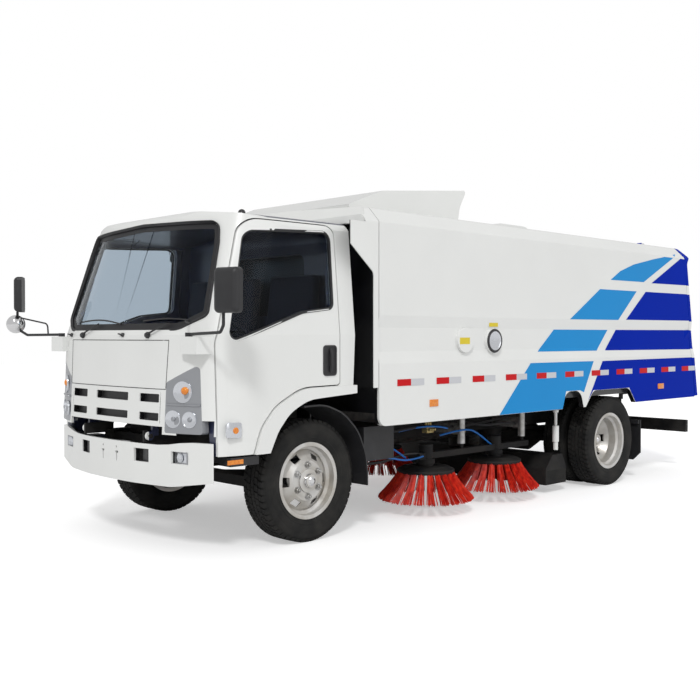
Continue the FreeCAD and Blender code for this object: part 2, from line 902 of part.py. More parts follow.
def cab_form(inset):
    """The closed outer form of the cab, moved inwards by inset."""
    axle = frontAxle.number
    belt = size.cabBelt.number
    rise = size.cabTopLevel.number - belt
    width = size.cabHalfWidth.number
    roof = size.cabRoof.number - inset
    back = axle - size.cabRearBack.number + inset
    beltFace = axle + size.cabBeltAhead.number
    below = size.doorBottom.number - 110
    left = cab_half(inset)
    whole = left.fuse(left.mirror(Vector(), Vector(0, 1, 0)))
    slope = (size.cabBeltAhead - size.cabTopAhead).number / rise
    side = [
        (back, 0, below, 0),
        (back, 0, roof - 4, 110),
        (beltFace - slope * (roof - belt) - inset, 0, roof, 170),
        (beltFace - inset + 60, 0, belt, 0),
        (axle + size.cabFaceAhead.number - inset + 60, 0, below, 0),
    ]
    reach = width + 100
    profile = Part.Face(rounded_wire(side)).extrude(Vector(0, 2 * reach, 0))
    profile.translate(Vector(0, -reach, 0))
    lean = (size.cabHalfWidth - size.cabTopHalfWidth).number / rise
    eave = roof - 52
    eaveWidth = width - lean * (eave - belt) - inset + 3
    top = [
        (0, reach, below, 0),
        (0, reach, eave - 300, 0),
        (0, eaveWidth + lean * 300, eave - 300, 0),
        (0, eaveWidth, eave, 95),
        (0, 420, roof - 4, 1200),
    ]
    other = [(x, -y, z, radius) for x, y, z, radius in reversed(top)]
    crown = Part.Face(rounded_wire(top + other)).extrude(Vector(2600, 0, 0))
    crown.translate(Vector(back - 400, 0, 0))
    return whole.common(profile).common(crown).removeSplitter()


def arch_lip(rear, rise):
    """Lower edge of the wheel arch's flare, from its foot up and back to the cab's rear."""
    front = frontAxle + size.archFrontAhead
    top = size.archHeight
    return [
        (front, size.doorBottom),
        (front - 69, top - 217, 300),
        (front - 174, top - 100, 300),
        (front - 340, top - 20, 400),
        (rear, top + rise),
    ]


def arch_crest(gap):
    """Upper edge of the flare, drawn outwards by gap for the door that closes on it."""
    front = frontAxle + size.archFrontAhead
    top = size.archHeight
    return [
        (front - 290 + gap * 0.24, top + 60 + gap, 400),
        (front - 59 + gap * 0.62, top - 55 + gap * 0.81, 300),
        (front + 61 + gap * 0.88, top - 192 + gap * 0.51, 300),
    ]


def cab_lower_edge():
    """What lies under the cab's sides: bumper corner, door bottom line and wheel arch."""
    outline = [
        (frontAxle - 700, size.doorBottom - 300),
        (frontAxle + 1300, size.doorBottom - 300),
        (frontAxle + 1300, size.cabCornerFoot),
        (frontAxle + size.doorFrontAhead, size.cabCornerFoot),
        (frontAxle + size.doorFrontAhead, size.doorBottom),
    ] + arch_lip(frontAxle - 700, 20)
    return prism("cabLowerEdge", "XZ", outline, -1400, 2800)


def door_outline(gap, bottom):
    """Left door in side view; gap draws it in for the leaf itself."""
    front = frontAxle + size.doorFrontAhead - gap
    rear = frontAxle - size.doorRearBack + gap
    top = size.doorTop - gap
    foot = frontAxle + size.archFrontAhead + size.flareWidth + gap
    return [
        (front, bottom),
        (front, size.cabBelt - 40, 250),
        (frontAxle + size.doorPillarAhead - gap, top, 150),
        (rear, top + 4, 85),
        (rear, size.archHeight + 66 + gap, 30),
    ] + arch_crest(gap) + [(foot, bottom)]


def door_form(name, gap, bottom):
    """Room of the left door; under the roof's edge its tongue is bounded by an arc round the hinge."""
    hinge = (frontAxle + size.doorHingeAhead, size.doorHingeOut, size.doorTop - 120)
    leaf = prism(name + "Leaf", "XZ", door_outline(gap, bottom), 700 + gap, 700)
    eave = box(name + "Eave", (frontAxle - 400, 600, size.doorTop - 100), (1400, size.doorEaveOut + gap - 600, 200))
    tongue = cylinder(name + "Tongue", hinge, size.doorTongueReach - gap, 240)
    return cut(name, leaf, cut(name + "BehindTongue", eave, tongue))


def window_outline():
    """Door window in side view, its sill dipping towards the front."""
    return [
        (frontAxle - 157, 1640, 45),
        (frontAxle + 130, 1607, 250),
        (frontAxle + 758, 1395, 45),
        (frontAxle + 568, 2145, 95),
        (frontAxle - 167, 2178, 65),
    ]


def windscreen_tool():
    """The windscreen opening: its front outline, kept to the front of the cab."""
    outline = [
        (-690, 1484, 200),
        (690, 1484, 200),
        (880, 1580, 40),
        (815, 2062, 150),
        (778, 2200, 70),
        (0, 2228),
        (-778, 2200, 70),
        (-815, 2062, 150),
        (-880, 1580, 40),
    ]
    front = prism("windscreenOutline", "YZ", outline, frontAxle + 300, 900)
    slope = [
        (frontAxle + size.cabBeltAhead - 300, size.cabBelt - 60),
        (frontAxle + size.cabBeltAhead + 200, size.cabBelt - 60),
        (frontAxle + size.cabTopAhead + 300, size.cabTopLevel),
        (frontAxle + size.cabTopAhead - 330, size.cabTopLevel),
    ]
    band = prism("windscreenBand", "XZ", slope, -1200, 2400)
    return common("windscreenOpening", front, band)


def headlamp_tool():
    outline = [(622, 812, 16), (908, 812, 16), (876, 1262, 30), (622, 1140, 16)]
    return prism("headlampOutline", "YZ", outline, frontAxle + 760, 400)


def grille_slots():
    """Two rows of three slots through the front panel."""
    slots = []
    for row, (low, high) in enumerate(((1006, 1062), (885, 937))):
        for number, (left, right) in enumerate(((-560, -346), (-209, 209), (346, 560))):
            corners = [(left, low, 8), (right, low, 8), (right, high, 8), (left, high, 8)]
            slots.append(prism(f"grilleSlot{row}{number}", "YZ", corners, frontAxle + 700, 500))
    return slots


def cab():
    outer = shape_piece("cabOuterForm", cab_form(0))
    inner = shape_piece("cabInnerForm", cab_form(size.cabWall.number))
    glassOuter = shape_piece("glassOuterForm", cab_form(size.glassInset.number))
    glassInner = shape_piece("glassInnerForm", cab_form(size.glassInset.number + size.glassThickness.number))
    lowerEdge = cab_lower_edge()
    rear = frontAxle - size.cabRearBack + size.cabWall
    seatBox = frontAxle + size.seatBoxAhead
    thick = size.floorThickness
    room = prism(
        "cabRoom",
        "XZ",
        [
            (rear - 200, size.cabRearFloor + thick),
            (seatBox, size.cabRearFloor + thick),
            (seatBox, size.cabFloor + thick),
            (frontAxle + 1200, size.cabFloor + thick),
            (frontAxle + 1200, 2500),
            (rear - 200, 2500),
        ],
        -1200,
        2400,
    )
    cavity = common("cabCavity", inner, room)
    halfRoom = size.cabHalfWidth - size.cabWall
    under = prism(
        "cabUnderside",
        "XZ",
        [
            (rear, 400),
            (rear, size.cabRearFloor),
            (seatBox - thick, size.cabRearFloor),
            (seatBox - thick, size.cabFloor),
            (frontAxle + size.cabFaceAhead - size.cabWall, size.cabFloor),
            (frontAxle + size.cabFaceAhead - size.cabWall, 400),
        ],
        -halfRoom,
        halfRoom * 2,
    )
    door = door_form("doorOpening", measure(0), size.doorBottom - 40)
    doorways = pair("doorways", door)
    screen = windscreen_tool()
    rearOutline = [(-560, 1600, 70), (560, 1600, 70), (560, 2060, 70), (-560, 2060, 70)]
    rearWindow = prism("rearWindowOutline", "YZ", rearOutline, frontAxle - 600, 500)
    lamp = headlamp_tool()
    lamps = pair("lampOpenings", lamp)
    footCut = box("cabFootCut", (frontAxle + 600, -600, 400), (700, 1200, size.cabFoot - 400))
    slots = fuse("grilleSlots", *grille_slots())
    slotBack = shape_piece("slotBackForm", cab_form(size.slotDepth.number + size.slotSheet.number))
    slotFront = shape_piece("slotFrontForm", cab_form(size.slotDepth.number))
    pockets = cut("grillePockets", slots, slotBack)
    shell = cut("cabWalls", outer, lowerEdge, cavity, under, doorways, screen, rearWindow, lamps, footCut, pockets)
    node("grille_insert", cut("grilleInsert", common("grilleInsertBlank", slotFront, slots), slotBack))
    hingeLug = box("tiltLug", (frontAxle + size.tiltAxisAhead - 65, halfFrame + 5, size.tiltAxisHeight),
                   (48, 20, size.cabFloor - size.tiltAxisHeight + 5))
    hingeEye = cylinder("tiltEye", (frontAxle + size.tiltAxisAhead, halfFrame + 5, size.tiltAxisHeight), 30, 20, "Y")
    hingeHole = cylinder("tiltHole", (frontAxle + size.tiltAxisAhead, halfFrame, size.tiltAxisHeight),
                         size.tiltPinRadius + size.seatGap, 40, "Y")
    lug = cut("tiltLugBored", fuse("tiltLugBlank", hingeLug, hingeEye), hingeHole)
    cabRear = frontAxle - size.cabRearBack
    flareFoot = (frontAxle + size.archFrontAhead + size.flareWidth, size.doorBottom)
    flareOutline = arch_lip(cabRear, 8) + [(cabRear, size.archHeight + 66)] + arch_crest(measure(0)) + [flareFoot]
    flare = prism("archFlare", "XZ", flareOutline, size.cabHalfWidth - size.cabWall,
                  size.cabWall + size.flareProud)
    flared = fuse("cabFlaredLeft", shell, flare)
    flared.Refine = False
    whole = fuse("cabShell", flared, mirror("archFlareRight", flare), lug, mirror("tiltLugRight", lug))
    whole.Refine = False
    node("cab_shell", whole)

    rightSide = box("rightSide", (frontAxle - 1000, -1200, 400), (3000, 1200, 2200))
    pane = cut("windscreenGlass", common("windscreenBlank", glassOuter, screen, rightSide), glassInner)
    node("windscreen", fuse("windscreenPane", pane, mirror("windscreenLeft", pane)))
    node("rear_window", cut("rearWindowGlass", common("rearWindowBlank", glassOuter, rearWindow), glassInner))
    lampBack = shape_piece("lampBackForm", cab_form(60))
    behindLamp = box("behindLamp", (frontAxle + 600, -1100, 700), (size.doorFrontAhead - 600 + 6, 2200, 700))
    node("headlamps", cut("headlampUnits", common("headlampBlanks", outer, lamps), lampBack, behindLamp))

    leafOutline = door_form("doorLeafForm", size.runningGap, size.doorBottom + 2)
    window = prism("doorWindow", "XZ", window_outline(), 700, 700)
    swing = cylinder("doorSwing", (frontAxle + size.doorHingeAhead, size.doorHingeOut, size.doorBottom - 100),
                     size.doorHingeAhead + size.doorRearBack - size.runningGap, 2000)
    leafBlank = common("doorLeafBlank", outer, leafOutline, swing)
    pinBore = cylinder("doorPinBore", (frontAxle + size.doorHingeAhead, size.doorHingeOut, size.doorBottom - 10),
                       size.doorHingeRadius, 150)
    leaf = node("door_left", cut("doorLeaf", leafBlank, inner, window, lowerEdge, pinBore))
    pane = node("door_glass_left", cut("doorPane", common("doorPaneBlank", glassOuter, window), glassInner))
    node("door_right", mirror("doorRight", leaf))
    node("door_glass_right", mirror("doorGlassRight", pane))


def dashboard():
    outline = [
        (frontAxle + 560, 1180, 40),
        (frontAxle + 540, 1330, 60),
        (frontAxle + 640, 1440, 40),
        (frontAxle + 1000, 1420),
        (frontAxle + 1000, 960),
        (frontAxle + 800, 960, 20),
    ]
    panel = prism("dashPanel", "XZ", outline, -830, 1660)
    return node("dashboard", common("dashFitted", panel, doc.getObject("cabInnerForm")))


def seats():
    floor = size.cabRearFloor + size.floorThickness
    pieces = []
    for number, (low, width) in enumerate(((270, 500), (-770, 860))):
        outline = [
            (frontAxle + 330, floor, 20),
            (frontAxle + 350, floor + 130, 50),
            (frontAxle - 110, floor + 110, 60),
            (frontAxle - 200, floor + 760, 50),
            (frontAxle - 280, floor + 750, 40),
            (frontAxle - 250, floor, 20),
        ]
        pieces.append(prism(f"seat{number}", "XZ", outline, measure(low), width))
    return node("seats", group("seatRow", *pieces))


def steering_wheel():
    centre = (frontAxle + 395, 520, 1470)
    tilt = Rotation(Vector(0, 1, 0), -38)
    ring = doc.addObject("Part::Torus", "steeringRing")
    bind(ring, Radius1=200, Radius2=15)
    place(ring, *centre, turn=tilt)
    hub = doc.addObject("Part::Cylinder", "steeringHub")
    bind(hub, Radius=45, Height=40)
    place(hub, centre[0] + 12, centre[1], measure(1454), turn=tilt)
    spokes = doc.addObject("Part::Box", "steeringSpokes")
    bind(spokes, Length=30, Width=390, Height=14)
    place(spokes, centre[0] - 12, 325, measure(1462), turn=tilt)
    column = doc.addObject("Part::Cylinder", "steeringColumn")
    bind(column, Radius=28, Height=200)
    columnTurn = Rotation(Vector(0, 1, 0), 142)
    place(column, centre[0] + 4, centre[1], measure(1466), turn=columnTurn)
    return node("steering_wheel", fuse("steeringWheel", ring, hub, spokes, column))


def swept_tube(name, points, radius):
    """Round bar along a path of (ahead, y, z, bend) corners."""
    corners = [((frontAxle + ahead).number, y, z, bend) for ahead, y, z, bend in points]
    start = Vector(*corners[0][:3])
    section = Part.Wire(Part.makeCircle(radius, start, Vector(*corners[1][:3]) - start))
    return shape_piece(name, rounded_path(corners).makePipeShell([section], True, True))


def mirror_head(name, ahead, y, height, width, tall, depth, turn):
    """Rounded mirror housing, turned about its upright axis."""
    block = doc.addObject("Part::Box", name + "Block")
    bind(block, Length=depth, Width=width, Height=tall)
    doc.recompute()
    edges = []
    for index, edge in enumerate(block.Shape.Edges, start=1):
        if min(vertex.X for vertex in edge.Vertexes) > depth - 1:
            edges.append((index, depth * 0.55, depth * 0.55))
        elif max(vertex.X for vertex in edge.Vertexes) > depth - 1:
            edges.append((index, 28, 28))
    rotation = Rotation(Vector(0, 0, 1), turn)
    corner = rotation.multVec(Vector(-depth / 2, -width / 2, -tall / 2))
    place(block, frontAxle + ahead + corner.x, measure(y) + corner.y, measure(height + corner.z), turn=rotation)
    rounded = doc.addObject("Part::Fillet", name)
    rounded.Base = block
    rounded.Edges = edges
    return rounded


def mirrors():
    """Driver's mirror on a bent arm, and the passenger's with its round front mirror, on corner brackets."""
    foot = size.mirrorFootAhead.number
    roots = []
    for name, side in (("Left", 1), ("Right", -1)):
        low = 780 if side == 1 else -950
        bracket = box("mirrorBracket" + name, (frontAxle + foot - 190, low, 1328), (215, 170, 112))
        fitted = cut("mirrorBracketFitted" + name, bracket, doc.getObject("cabOuterForm"))
        pad = cylinder("mirrorFoot" + name, (frontAxle + foot, 835 * side, 1438), 24, 28)
        roots.append(fuse("mirrorRoot" + name, fitted, pad))
    width, tall, depth, turn = 185, 275, 70, 14
    bend = depth * 0.55
    lean = math.radians(turn)
    reach = (depth / 2 - bend) * math.sin(lean) + (width / 2 - bend) * math.cos(lean) + bend
    leftHead = mirror_head("mirrorHeadLeft", 997, size.mirrorReach - reach, 1720, width, tall, depth, turn)
    leftArm = swept_tube("mirrorArmLeft", [(foot, 835, 1455, 0), (foot + 42, 1225, 1466, 40),
                                           (foot + 48, 1264, 1510, 20), (foot + 48, 1264, 1640, 0)], 10)
    roundY = (size.convexRadius - size.mirrorReach).number
    roundAhead = size.frontOverhang - size.convexRadius
    rightHead = mirror_head("mirrorHeadRight", 1043, measure(roundY) + 18, 1771, 180, 276, 64, -34)
    rightArm = swept_tube("mirrorArmRight", [(foot, -835, 1455, 0), (foot + 88, -1222, 1452, 40),
                                             (foot + 118, -1330, 1500, 30), (foot + 118, -1330, 1660, 0)], 10)
    stay = swept_tube("mirrorStayRight", [(foot + 34, -985, 1455, 0), (foot + 36, -992, 1538, 36),
                                          (foot + 116, -1322, 1592, 0)], 6)
    convex = doc.addObject("Part::Sphere", "mirrorConvexRight")
    bind(convex, Radius=size.convexRadius)
    place(convex, frontAxle + roundAhead, roundY, measure(1538))
    left = fuse("mirrorLeft", roots[0], leftArm, leftHead)
    right = fuse("mirrorRight", roots[1], rightArm, stay, rightHead, convex)
    return node("mirrors", group("mirrorPair", left, right))


def roof_marker():
    """Single marker lamp on the roof's left edge."""
    foot = (frontAxle + 518, 850, 2200)
    post = cylinder("roofMarkerPost", foot, 25, 66)
    dome = doc.addObject("Part::Sphere", "roofMarkerDome")
    bind(dome, Radius=25)
    place(dome, foot[0], foot[1], measure(foot[2] + 66))
    return node("roof_marker", cut("roofMarker", fuse("roofMarkerBlank", post, dome), doc.getObject("cabOuterForm")))


# Bumper, steps, guards and lamps

def front_bumper():
    """Curved bumper with tow openings, lamp openings and number plate slots."""
    face = frontAxle + size.bumperFaceAhead
    front = face.number
    wall = size.bumperWall.number
    end = (frontAxle + size.bumperEndAhead).number
    low = size.bumperBottom.number - 5
    left = [(end, 862, 0), (end, 966, 6), (end + 8, 978, 6), (front - 84, 700, 700), (front - 12, 300, 900)]
    leftInner = [(front - 84 - wall, 700, 700 - wall), (front - 12 - wall, 300, 900 - wall)]
    outline = left + [(front, 0, 2400)]
    outline += [(x, -y, radius) for x, y, radius in reversed(left)]
    outline += [(x, -y, radius) for x, y, radius in leftInner]
    outline += [(front - wall, 0, 2400 - wall)] + list(reversed(leftInner))
    plan = Part.Face(rounded_wire([(x, y, low, radius) for x, y, radius in outline]))
    shell = shape_piece("bumperBar", plan.extrude(Vector(0, 0, (size.bumperTop - size.bumperBottom).number + 10)))
    half = size.cabHalfWidth + 20
    view = [
        (-half, size.bumperBottom + size.bumperBottomRise),
        (-640, size.bumperBottom, 490),
        (640, size.bumperBottom, 490),
        (half, size.bumperBottom + size.bumperBottomRise),
        (half, size.bumperTop),
        (820, size.bumperTop),
        (720, size.bumperTop - size.bumperTopDip * 0.25),
        (620, size.bumperTop - size.bumperTopDip * 0.75),
        (520, size.bumperTop - size.bumperTopDip),
        (-520, size.bumperTop - size.bumperTopDip),
        (-620, size.bumperTop - size.bumperTopDip * 0.75),
        (-720, size.bumperTop - size.bumperTopDip * 0.25),
        (-820, size.bumperTop),
        (-half, size.bumperTop),
    ]
    profile = prism("bumperFront", "YZ", view, frontAxle + 600, 600)
    holes = []
    for side in (1, -1):
        x = frontAxle + 700
        for name, y, z, w, h in (
            ("towHole", 366, 603, 144, 88),
            ("fogHole", 715, 612, 140, 78),
            ("plateSlot", 90, 586, 12, 60),
            ("plateSlotTop", 90, 640, 34, 14),
        ):
            low = measure(y - w / 2 if side == 1 else -y - w / 2)
            holes.append(box(f"{name}{side + 1}", (x, low, z), (400, w, h)))
        holes.append(cylinder(f"plateHole{side + 1}", (x, 88 * side, 682), 8, 400, "X"))
    bracket = box("bumperBracket", (railFront + size.seatGap, halfFrame - 60, 590),
                  (face - size.bumperWall - 12 - railFront, 60, 120))
    backing = box("bumperBacking", (face - 130, 280, 580), (12, 175, 130))
    bored = cut("bumperBored", common("bumperShaped", shell, profile), *holes)
    parts = (bracket, mirror("bumperBracketRight", bracket), backing, mirror("bumperBackingRight", backing))
    return node("front_bumper", fuse("frontBumper", bored, *parts))


def chassis_lamps():
    face = frontAxle + size.bumperFaceAhead
    fog = box("fogLamp", (face - 165, 715 - 69.5, 612.5), (60, 139, 77))
    tailX = frontAxle - size.tailBarBack
    tail = box("tailLamp", (tailX - 20, 700, 425), (20, 330, 80))
    parts = (fog, mirror("fogLampRight", fog), tail, mirror("tailLampRight", tail))
    return node("chassis_lamps", group("chassisLampSet", *parts))


def front_mudguards():
    """Guard behind the front wheel with its hanging flap, and the step under the door."""
    centre = wheelHeight + 25
    outer = []
    inner = []
    for angle in (78, 100, 122, 144, 166):
        turn = math.radians(angle)
        outer.append((frontAxle + 520 * math.cos(turn), centre + 520 * math.sin(turn), 350))
        inner.append((frontAxle + 508 * math.cos(turn), centre + 508 * math.sin(turn), 338))
    outline = (
        [outer[0][:2]] + outer[1:]
        + [(frontAxle - 520, centre - 20), (frontAxle - 520, 350), (frontAxle - 508, 350)]
        + [(frontAxle - 508, centre - 20)]
        + list(reversed(inner[1:])) + [inner[0][:2]]
    )
    guard = prism("guardBand", "XZ", outline, 640, 375)
    stay = box("guardStay", (frontAxle - 540, halfFrame, 590), (50, 560, 40))
    left = fuse("guardLeft", guard, stay)
    step = box("stepBoard", (frontAxle + 520, 905, 604), (230, 125, 56))
    arm = box("stepArm", (frontAxle + 660, halfFrame, 610), (60, 520, 40))
    stepLeft = fuse("stepLeft", step, arm)
    parts = (left, mirror("guardRight", left), stepLeft, mirror("stepRight", stepLeft))
    return node("front_mudguards", group("frontGuards", *parts))


def rear_mudguards():
    """Flaps behind and blades ahead of the twin tyres, on stays from the frame."""
    behind = rearAxle - 560
    outline = [(560, 190, 8), (1010, 190, 8), (1090, 270), (1090, 600), (560, 600)]
    flap = prism("rearFlap", "YZ", outline, behind, 10)
    stay = box("rearFlapStay", (behind + 10, halfFrame, 560), (30, 680, 36))
    left = fuse("rearFlapLeft", flap, stay)
    return node("rear_mudguards", pair("rearGuards", left))


def tail_bar():
    rear = frontAxle - size.tailBarBack
    bar = box("tailBeam", (rear, -1050, 400), (50, 2100, 130))
    side = [
        (rear + 50, 440),
        (railRear + 140, 440),
        (railRear + 140, railBottom),
        (railRear, railBottom),
        (rear + 50, 530),
    ]
    arm = prism("tailArm", "XZ", side, halfFrame - 60, 60)
    hole = cylinder("towPinHole", (rear + 25, 0, 380), size.towPinRadius, 180)
    joined = fuse("tailBarJoined", bar, arm, mirror("tailArmRight", arm))
    return node("tail_bar", cut("tailBar", joined, hole))


def front_shroud():
    """Fixed portal between cab and sweeper body, open at the sides under a round-topped slot."""
    rear = frontAxle - size.bodyFrontBack + size.runningGap
    front = frontAxle - size.cabRearBack - 20
    cheek = frontAxle - size.shroudCheekBack
    half = size.bodyWidth / 2
    outer = [
        (-half, 1070),
        (-half, size.bodyEave, 30),
        (-half + size.roofChamfer, size.bodyRoof - 55, 60),
        (0, size.bodyRoof, 4000),
        (half - size.roofChamfer, size.bodyRoof - 55, 60),
        (half, size.bodyEave, 30),
        (half, 1070),
    ]
    blank = prism("shroudBlank", "YZ", outer, rear, cheek - rear)
    wall = 14
    hollowOutline = [
        (-half + wall, 760),
        (-half + wall, size.bodyEave - 6),
        (-half + size.roofChamfer + 6, size.bodyRoof - 55 - wall),
        (0, size.bodyRoof - wall),
        (half - size.roofChamfer - 6, size.bodyRoof - 55 - wall),
        (half - wall, size.bodyEave - 6),
        (half - wall, 760),
    ]
    hollow = prism("shroudHollow", "YZ", hollowOutline, rear + wall, cheek - rear)
    slotOutline = [
        (rear + 48, 900),
        (rear + 48, 1900, 60),
        (cheek + 4, 2100),
        (cheek + 60, 2100),
        (cheek + 60, 900),
    ]
    above = box("shroudAboveCab", (front, -1400, size.bodyEave - 14), (500, 2800, 400))
    slot = prism("shroudSlot", "XZ", slotOutline, -1400, 2800)
    slope = [
        (front + 60, 2318),
        (front + 60, 2600),
        (rear - 60, 2600),
        (rear, size.bodyRoof + 2),
        (front - 30, 2318),
    ]
    slopeCut = prism("shroudSlope", "XZ", slope, -1400, 2800)
    portal = cut("shroudPortal", blank, hollow, slot, above, slopeCut)
    foot = box("shroudFoot", (rear, -halfFrame, size.railTop), (wall, halfFrame * 2, 400))
    return node("front_shroud", fuse("frontShroud", portal, foot))


# Sweeper body

bodyFront = frontAxle - size.bodyFrontBack
halfBody = size.bodyWidth / 2


def body_side(inset, drop):
    """Side outline of the sweeper body, leaning forward at the rear."""
    return [
        (bodyFront - inset, size.bodyBottom - drop, size.bodyFrontCorner),
        (bodyFront - inset, size.bodyRoof + 100),
        (frontAxle - size.bodyRearTopBack + 30, size.bodyRoof + 100),
        (frontAxle - size.bodyRearTopBack, size.bodyEave + 50),
        (frontAxle - size.bodyRearBottomBack, size.bodyBottom - drop),
    ]


def body_end(inset):
    """End outline of the sweeper body: pressed side panels, chamfered eaves and a low crown."""
    chamfer = size.roofChamfer
    half = halfBody - inset
    groove = half - size.panelRelief
    left = [
        (-half, size.bodyBottom - 200),
        (-half, size.panelReliefLow - size.panelReliefSlope),
        (-groove, size.panelReliefLow),
        (-groove, size.panelReliefHigh),
        (-half, size.panelReliefHigh + size.panelReliefSlope),
        (-half, size.bodyEave - inset * 0.4, 20),
        (-half + chamfer, size.bodyRoof - 55 - inset, 60),
    ]
    right = [(-measure(corner[0]),) + tuple(corner[1:]) for corner in reversed(left)]
    return left + [(0, size.bodyRoof - inset, 4000)] + right


def arch_cut(name, centreBack, length, top):
    """Wheel arch in the body's side panels."""
    centre = frontAxle - centreBack
    outline = [
        (centre - length / 2, size.bodyBottom - 100),
        (centre - length / 2, size.bodyBottom),
        (centre - length * 0.36, top, 120),
        (centre + length * 0.36, top, 120),
        (centre + length / 2, size.bodyBottom),
        (centre + length / 2, size.bodyBottom - 100),
    ]
    inner = halfBody - size.bodyWall - 1
    return pair(name, prism(name + "Left", "XZ", outline, inner, size.bodyWall + 40))


def hopper_shell():
    wall = size.bodyWall
    length = measure(6000)
    outerEnd = prism("bodyOuterEnd", "YZ", body_end(measure(0)), bodyFront - length, length)
    outerSide = prism("bodyOuterSide", "XZ", body_side(measure(0), measure(0)), -1400, 2800)
    outer = common("bodyOuter", outerEnd, outerSide)
    innerEnd = body_end(wall)
    floorTop = size.hopperFloor + size.hopperFloorDepth
    tank = [(-halfBody + wall, floorTop), *innerEnd[1:-1], (halfBody - wall, floorTop)]
    tankPrism = prism("bodyTankEnd", "YZ", tank, bodyFront - length, length - size.hopperFrontBack
                      + size.bodyFrontBack)
    bayPrism = prism("bodyBayEnd", "YZ", body_end(wall), frontAxle - size.hopperFrontBack + wall,
                     size.hopperFrontBack - size.bodyFrontBack - wall * 2)
    below = box("bodyBelow", (frontAxle - 6000, -halfBody + wall, 500), (6000 - size.hopperFrontBack + wall,
                (halfBody - wall) * 2, size.hopperFloor - 500))
    frontBelow = box("bodyFrontBelow", (frontAxle - 800, -halfBody + wall, 500),
                     (400, (halfBody - wall) * 2, size.railTop - 500 + 120))
    arches = [
        arch_cut("rearArch", size.bodyArchBack, size.bodyArchLength, size.bodyArchTop),
        arch_cut("smallArch", size.smallArchBack, size.smallArchLength, size.bodyArchTop + 8),
    ]
    lugX = frontAxle - size.tipAxisBack
    shell = cut("bodyWalls", outer, tankPrism, bayPrism, below, frontBelow, *arches)
    earBlank = box("tipEarBlank", (lugX - 40, halfFrame + 14, size.tipAxisHeight - 40),
                   (80, 40, size.hopperFloor - size.tipAxisHeight + 40))
    earHole = cylinder("tipEarHole", (lugX, halfFrame, size.tipAxisHeight), size.tipPinRadius + size.seatGap, 80, "Y")
    ear = cut("tipEar", earBlank, earHole)
    inlets = [
        cylinder(f"ductInlet{side + 1}", (ductX, size.ductTrack * side / 2, size.hopperFloor - 5),
                 size.ductRadius - 20, 120)
        for side in (1, -1)
    ]
    eyeBlank = box("rodEarBlank", (rodPin[0] - 40, 42, 762), (80, 20, size.hopperFloor - 762))
    pinHead = cylinder("rodPinHead", (rodPin[0], 50, rodPin[2]), 24, 22, "Y")
    eye = fuse("rodEar", eyeBlank, pinHead)
    ports = []
    for back, high in ((1877, 1405), (1507, 1411)):
        ring = cylinder(f"portRing{back}", (frontAxle - back, halfBody - size.panelRelief - 2, high), 98,
                        size.panelRelief + 14, "Y")
        ports += [ring, mirror(f"portRingRight{back}", ring)]
    lugOutline = [
        (doorHingeX - 14, doorHingeZ - 30),
        (doorHingeX - 14, doorHingeZ + 16),
        (doorHingeX + 66, doorHingeZ - 10),
        (doorHingeX + 66, doorHingeZ - 80),
        (doorHingeX + 34, doorHingeZ - 80),
        (doorHingeX + 34, doorHingeZ - 30),
    ]
    for y in DOOR_HINGES:
        for offset in (-50, 32):
            name = f"doorLug{y}{offset + 50}"
            ports.append(prism(name, "XZ", lugOutline, measure(y + offset), 18))
        ports.append(cylinder(f"doorPin{y}", (doorHingeX, y - 50, doorHingeZ), size.doorPinRadius, 100, "Y"))
    solid = fuse("hopperWhole", shell, ear, mirror("tipEarRight", ear), eye, mirror("tipRodEarOther", eye), *ports)
    return node("hopper_shell", cut("hopperShell", solid, *inlets))


DOOR_HINGES = (-600, 600)
doorHingeX = frontAxle - size.bodyRearTopBack - 14
doorHingeZ = size.bodyRoof + 12


def rear_door():
    """Top-hinged rear door, closing the slanted rear of the body."""
    wall = size.bodyWall
    depth = size.rearDoorDepth
    topBack = frontAxle - size.bodyRearTopBack
    bottomBack = frontAxle - size.bodyRearBottomBack
    gap = size.runningGap
    outline = [
        (bottomBack - gap, size.bodyBottom + 10),
        (topBack - gap, size.bodyEave + 50),
        (topBack - gap + 12, size.bodyRoof - 40, 20),
        (topBack - gap - 30, size.bodyRoof - 40, 20),
        (topBack - gap - 118, size.bodyEave + 20, 20),
        (topBack - gap - 70, size.bodyEave - 60, 60),
        (bottomBack - depth, size.bodyBottom + 10),
    ]
    leaf = prism("rearDoorSide", "XZ", outline, -halfBody, size.bodyWidth)
    end = prism("rearDoorEnd", "YZ", body_end(measure(0)), frontAxle - 6200, 1600)
    eyes = []
    for y in DOOR_HINGES:
        barrel = cylinder(f"doorEyeBarrel{y}", (doorHingeX, y - 25, doorHingeZ), 20, 50, "Y")
        arm = box(f"doorEyeArm{y}", (doorHingeX - 20, y - 25, doorHingeZ - 75), (28, 50, 75))
        bore = cylinder(f"doorEyeBore{y}", (doorHingeX, y - 40, doorHingeZ), size.doorPinRadius + size.seatGap, 80, "Y")
        eyes.append(cut(f"doorEye{y}", fuse(f"doorEyeBlank{y}", barrel, arm), bore))
    return node("rear_door", fuse("rearDoor", common("rearDoorLeaf", leaf, end), *eyes))


